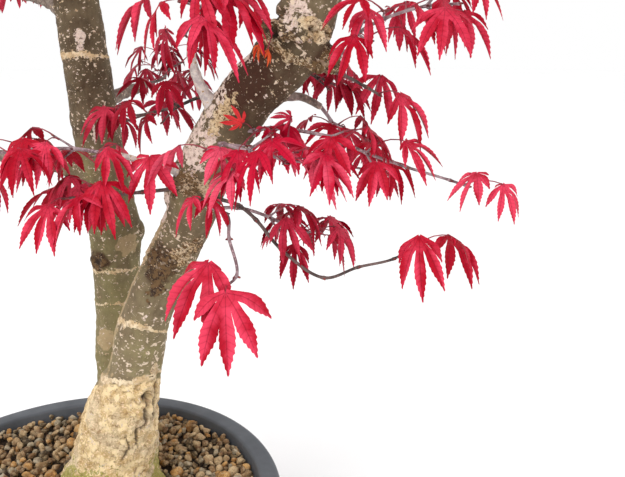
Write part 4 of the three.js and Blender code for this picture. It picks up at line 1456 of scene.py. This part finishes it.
def leaf_shape(teeth, random):
    """One leaf: its points, its triangles, and the marks of its points."""
    droop = random.uniform(*LEAF_DROOPS)
    fold = random.uniform(*LEAF_FOLDS)
    broad = LOBE_WIDTH * random.uniform(*LOBE_WIDENING)
    tooth_length = TOOTH_LENGTH if teeth > 3 else 0
    lobes = lobes_of(droop, random)
    blade = Blade()
    gaps = blade.add_gaps(lobes)
    for place, lobe in enumerate(lobes):
        turn, length, _ = lobe
        small = length <= 0.5
        join = SMALL_JOIN if small else LOBE_JOIN
        steps = np.linspace(0, 1, max(1, round(teeth * min(1, length))) + 1) ** 0.94
        track = rib_of(lobe, np.concatenate([[join / 2], join + (1 - join) * steps]))[1:]
        widths = broad * (0.75 if small else 1) * length**0.4 * np.interp(steps, *LOBE_OUTLINE)
        crease = math.radians(fold * random.uniform(0.7, 1.5))
        roll = math.radians(random.normal() * LOBE_ROLL)
        # Painted sheen: one half of each lobe is painted lighter and the other darker, as light falls on
        # its crease.
        pale = random.uniform(0, 1)
        middles = [blade.add(spot, 1.0, 0.5, step) for step, (spot, _) in enumerate(track)]
        for hand, gap, shade in ((-1, gaps[place], 1 - pale), (1, gaps[place + 1], pale)):
            tilt = crease + hand * roll
            blade.add_half(hand, gap, middles, track, widths, turn, tilt, shade, tooth_length)
    return np.array(blade.points), np.array(blade.triangles), np.array(blade.marks).T


def opened(spot):
    return any(np.linalg.norm(spot - np.array(middle)) < room for middle, room in OPENINGS)


def placed_leaf(leaf, shape, roll):
    """A blade of the library hung at its stalk's joint."""
    ahead = leaf["ahead"]
    side = np.array([-ahead[1], ahead[0], 0.0])
    side /= np.linalg.norm(side)
    face = np.cross(ahead, side)
    level, upright = side, face
    side = level * math.cos(roll) + upright * math.sin(roll)
    face = upright * math.cos(roll) - level * math.sin(roll)
    points, triangles, marks = shape
    # A random shift of the leaf's painted sheen.
    marks = marks + np.array([[0.0], [random.normal() * SHEEN_SWAY], [0.0]])
    spread = (points @ np.array([ahead, side, face])) * LEAF_LENGTH * leaf["size"]
    return leaf["joint"] + spread, triangles, marks


def stalk_tube(leaf):
    """A leaf's stalk: it leaves the twig nearly level and sags to the blade."""
    shares = np.linspace(0, 1, 5)
    span = leaf["joint"] - leaf["node"]
    lift = np.outer(np.sin(np.pi * shares), (0, 0, 0.1 * np.linalg.norm(span)))
    radii = STALK_RADII[0] + (STALK_RADII[1] - STALK_RADII[0]) * shares
    radii = radii * (1 + 0.7 * np.exp(-shares * 8))
    return tube(leaf["node"] + np.outer(shares, span) + lift, radii, 4)


# Tints of leaf: the deep and the light tone of its flesh, the light one also standing for painted
# sheen, and the finish's name.
TINTS = {
    "leaves_bright": [(172, 0, 32), (222, 62, 90), "scarlet red"],
    "leaves_rose": [(188, 6, 46), (226, 82, 108), "rose red"],
    "leaves_scarlet": [(194, 8, 26), (224, 60, 62), "young scarlet"],
    "leaves_crimson": [(144, 0, 28), (200, 50, 76), "crimson"],
    "leaves_deep": [(122, 0, 22), (180, 44, 66), "deep crimson"],
    "leaves_young": [(206, 28, 20), (242, 112, 62), "orange red"],
}
SPRAY_TINTS = {
    "spray_left_low": "leaves_bright", "spray_left_front": "leaves_bright", "spray_front": "leaves_rose",
    "spray_hanging": "leaves_bright", "spray_reach": "leaves_bright", "spray_inner": "leaves_crimson",
    "spray_arch": "leaves_bright", "spray_hook": "leaves_crimson", "spray_behind": "leaves_crimson",
    "spray_burr_up": "leaves_bright", "spray_burr_out": "leaves_bright", "spray_fork": "leaves_bright",
    "spray_back_twig": "leaves_crimson", "spray_elbow": "leaves_bright",
}
CROWN_TINTS = [
    "leaves_bright", "leaves_crimson", "leaves_rose", "leaves_bright", "leaves_deep", "leaves_scarlet",
]
# Young leaves on their own: from the wood, the stalk's end, the blade's way, size, roll and tint.
YOUNG = [
    ((137, -9, 399), (131, -20, 405), (-0.75, -0.12, 0.5), 0.42, 1.5, "leaves_scarlet"),
    ((146, -12, 452), (143, -20, 449), (-0.5, -0.3, -0.6), 0.36, 1.1, "leaves_young"),
    ((150, -18, 455), (147, -24, 446), (0.5, -0.3, -0.8), 0.28, -1.1, "leaves_young"),
    ((158, -27, 398), (160, -28, 409), (-0.96, -0.1, 0.1), 0.42, 1.2, "leaves_crimson"),
    ((92, 20, 415), (82, 20, 457), (-0.3, -0.1, -0.9), 0.9, 0.6, "leaves_bright"),
    ((76, -7, 379), (79, -31, 387), (0.1, -0.55, -0.83), 0.95, 0.1, "leaves_bright"),
]
# How the last two leaves of a spray have sagged: a shift of the joint, and the blade's new way.
LAST_PAIRS = {
    "spray_reach": [((-5, 0, 2), None), ((8, 0, -4), None)],
    "spray_elbow": [((7.5, -3, 4), (-0.55, -0.5, -0.67)), ((-11, -6, 2), (0.5, -0.5, -0.7))],
    "spray_arch": [((6, 0, 6), (-0.35, 0.5, -0.79)), ((6, 0, -2), (0.35, -0.5, -0.79))],
    "spray_hanging": [((6, -4, 4), (-0.55, -0.5, -0.67)), ((-2, 0, -8), (0.1, -0.5, -0.86))],
}
DARK_WOOD = [
    "spray_left_front", "spray_back_twig", "spray_elbow", "spray_reach", "spray_behind", "spray_burr_out",
]
# Twigs of each kind: the dull and the bright tone of their bark.
TWIG_TONES = {
    "twigs": [(104, 78, 82), (158, 138, 142)],
    "twigs_dark": [(52, 38, 36), (100, 80, 76)],
}

seated = {carrier for _, carrier, height, _, _ in SPRAYS if not height}
bare = [name for name in limbs if name not in seated]
onward = [("spray_on_" + name.split("_", 1)[1], name, None, None, None) for name in bare]

random = np.random.default_rng(29)
library = {}
for kind, teeth in TEETH.items():
    library[kind] = [leaf_shape(teeth, random) for _ in range(VARIANTS[kind])]
stalks, buds, blades = [], [], {tint: [] for tint in TINTS}
wood = {kind: [] for kind in TWIG_TONES}
middles = np.zeros((0, 3))
for order, (name, carrier, height, stem, sides) in enumerate([*SPRAYS, *onward]):
    tint = SPRAY_TINTS.get(name) or CROWN_TINTS[order % len(CROWN_TINTS)]
    kind = "near" if stem else "crown"
    spray_wood, spray_buds, leaves = grow(name, order, carrier, height, stem, sides)
    shaded = name in DARK_WOOD or not stem and order % 3 == 1
    kept = [part for part in spray_wood if not opened(part[0].mean(axis=0))]
    wood["twigs_dark" if shaded else "twigs"] += [(part, name) for part in kept or spray_wood[:1]]
    buds += spray_buds
    for leaf, (shift, ahead) in zip(leaves[-2:], LAST_PAIRS.get(name, [])):
        leaf["joint"] = leaf["joint"] + np.array(shift)
        leaf["ahead"] = leaf["ahead"] if ahead is None else np.array(ahead) / np.linalg.norm(ahead)
    for leaf in leaves:
        heart = leaf["joint"] + leaf["ahead"] * LEAF_LENGTH * leaf["size"] * BLADE_HEART
        tip = leaf["joint"] + leaf["ahead"] * LEAF_LENGTH * leaf["size"]
        crowded = len(middles) and np.linalg.norm(middles - heart, axis=1).min() < LEAF_GAP
        buried = not clear_of_wood(np.array([leaf["joint"], heart, tip]), LEAF_ROOM)
        if crowded or opened(heart) or buried:
            continue
        middles = np.vstack([middles, heart])
        shape = library[kind][random.integers(VARIANTS[kind])]
        blades[tint].append((placed_leaf(leaf, shape, random.normal() * BLADE_ROLL), name))
        stalks.append(stalk_tube(leaf))

for node, joint, ahead, size, roll, tint in YOUNG:
    node, joint, ahead = (np.array(row, float) for row in (node, joint, ahead))
    leaf = {"node": node, "joint": joint, "ahead": ahead / np.linalg.norm(ahead), "size": size}
    blades[tint].append((placed_leaf(leaf, library["near"][len(stalks) % VARIANTS["near"]], roll), None))
    stalks.append(stalk_tube(leaf))

for tint, (deep, light, finish_name) in TINTS.items():
    blade = Finish("maple leaf " + finish_name, Roughness=0.45, IOR=1.22)
    where = blade.place()
    blotch = blade.noise(11, where, detail=2)
    crinkle = blade.noise(1.1, where, detail=3)
    # Paler where the lobe's painted sheen falls, and in random blotches and crinkles.
    blotch_and_sheen = blade.attribute("pale") + (blotch - 0.5) * 1.1 + (crinkle - 0.5) * 0.2
    flesh_and_sheen = blade.mix(blotch_and_sheen.above(0.56, 0.36), tone(*deep), tone(*light))
    vein = blade.attribute("rib").above(0.93, 0.05)
    veins = blade.attribute("vein")
    side_vein = 1 - veins.maths("PINGPONG", veins, 0.5).above(0.09, 0.07)
    blade.wear(
        blade.mix(vein * 0.45 + side_vein * 0.2, flesh_and_sheen, tone(*(level * 0.7 for level in deep))),
        0.42 + crinkle * 0.16,
        blade.bump(crinkle * 0.6 - vein * 0.5 - side_vein * 0.5, 0.2),
    )
    rows = blades[tint]
    ribs, painted_sheens, places = np.concatenate([marks for (_, _, marks), _ in rows], axis=1)
    copies = [(spots, faces) for (spots, faces, _), _ in rows]
    piece = joined_piece(tint, copies, rib=ribs, pale=painted_sheens, vein=places)
    finished(piece, blade, sorted({name for _, name in rows if name}))

stalk = Finish("leaf stalks", Roughness=0.5)
blush = stalk.noise(9, stalk.place()).above(0.5, 0.15)
stalk.wear(stalk.mix(blush, tone(122, 28, 48), tone(164, 58, 72)))
finished(joined_piece("leaf_stalks", stalks), stalk, [])

for name, rows in wood.items():
    dull, bright = TWIG_TONES[name]
    twig = Finish("year-old " + name.replace("_", " "), Roughness=0.65)
    where = twig.place()
    patches = twig.noise(12, where, detail=2)
    scars = twig.noise(1.4, where, detail=4)
    mauve = twig.mix(patches.above(0.5, 0.12), tone(*dull), tone(*bright))
    twig.wear(
        twig.mix(scars.above(0.58, 0.08) * 0.7, mauve, tone(*(level * 1.3 for level in bright))), None,
        twig.bump(scars, 0.25),
    )
    piece = joined_piece(name, [part for part, _ in rows])
    finished(piece, twig, sorted({spray for _, spray in rows}))

bud = Finish("buds", Roughness=0.55)
scales = bud.noise(2, bud.place()).above(0.5, 0.1)
bud.wear(bud.mix(scales, tone(86, 30, 36), tone(140, 60, 52)))
finished(joined_piece("buds", buds), bud, [])

# --- Studio ---------------------------------------------------------------------------------
# A pale seamless floor under a white sky, a big soft light high on the left, and a weaker one
# on the right.

FLOOR_RADIUS = 9
CROWN_MIDDLE = (0.06, 0.04, 0.38)
CAMERA_SPOT = (0.172, -0.428, 0.456)
CAMERA_DOWN = 16.5
CAMERA_LENS = 40.32
CAMERA_SENSOR = 36

floor = bmesh.new()
bmesh.ops.create_circle(floor, cap_ends=True, segments=96, radius=FLOOR_RADIUS)
floor = shaped(floor, "studio_floor")
paper = Finish("studio paper", Roughness=0.9)
paper.wear(tone(255, 255, 255))
floor.data.materials.append(paper.material)
floor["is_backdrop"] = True

sky = bpy.data.worlds.new("studio")
sky.use_nodes = True
sky.node_tree.nodes["Background"].inputs["Color"].default_value = tone(255, 255, 255)
sky.node_tree.nodes["Background"].inputs["Strength"].default_value = 1.0
bpy.context.scene.world = sky


def soft_light(name, spot, size, power):
    """A soft light in metres and watts, aimed at the middle of the crown."""
    lamp = bpy.data.lights.new(name, "AREA")
    lamp.size = size
    lamp.energy = power
    made = object_of(lamp, name)
    made.location = spot
    made.rotation_euler = (Vector(CROWN_MIDDLE) - Vector(spot)).to_track_quat("-Z", "Y").to_euler()


soft_light("key_light", (-0.9, -1.5, 1.7), 1.6, 24)
soft_light("fill_light", (1.6, -0.9, 0.9), 1.2, 5)

camera = object_of(bpy.data.cameras.new("camera"), "camera")
camera.data.sensor_width = CAMERA_SENSOR
camera.data.lens = CAMERA_LENS
camera.data.clip_start = 0.01
camera.location = CAMERA_SPOT
camera.rotation_euler = (math.radians(90 - CAMERA_DOWN), 0, 0)
bpy.context.scene.camera = camera
bpy.context.scene.view_settings.view_transform = "Standard"

size = {"cad": cad_box, "visual": [list(corner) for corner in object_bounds()]}
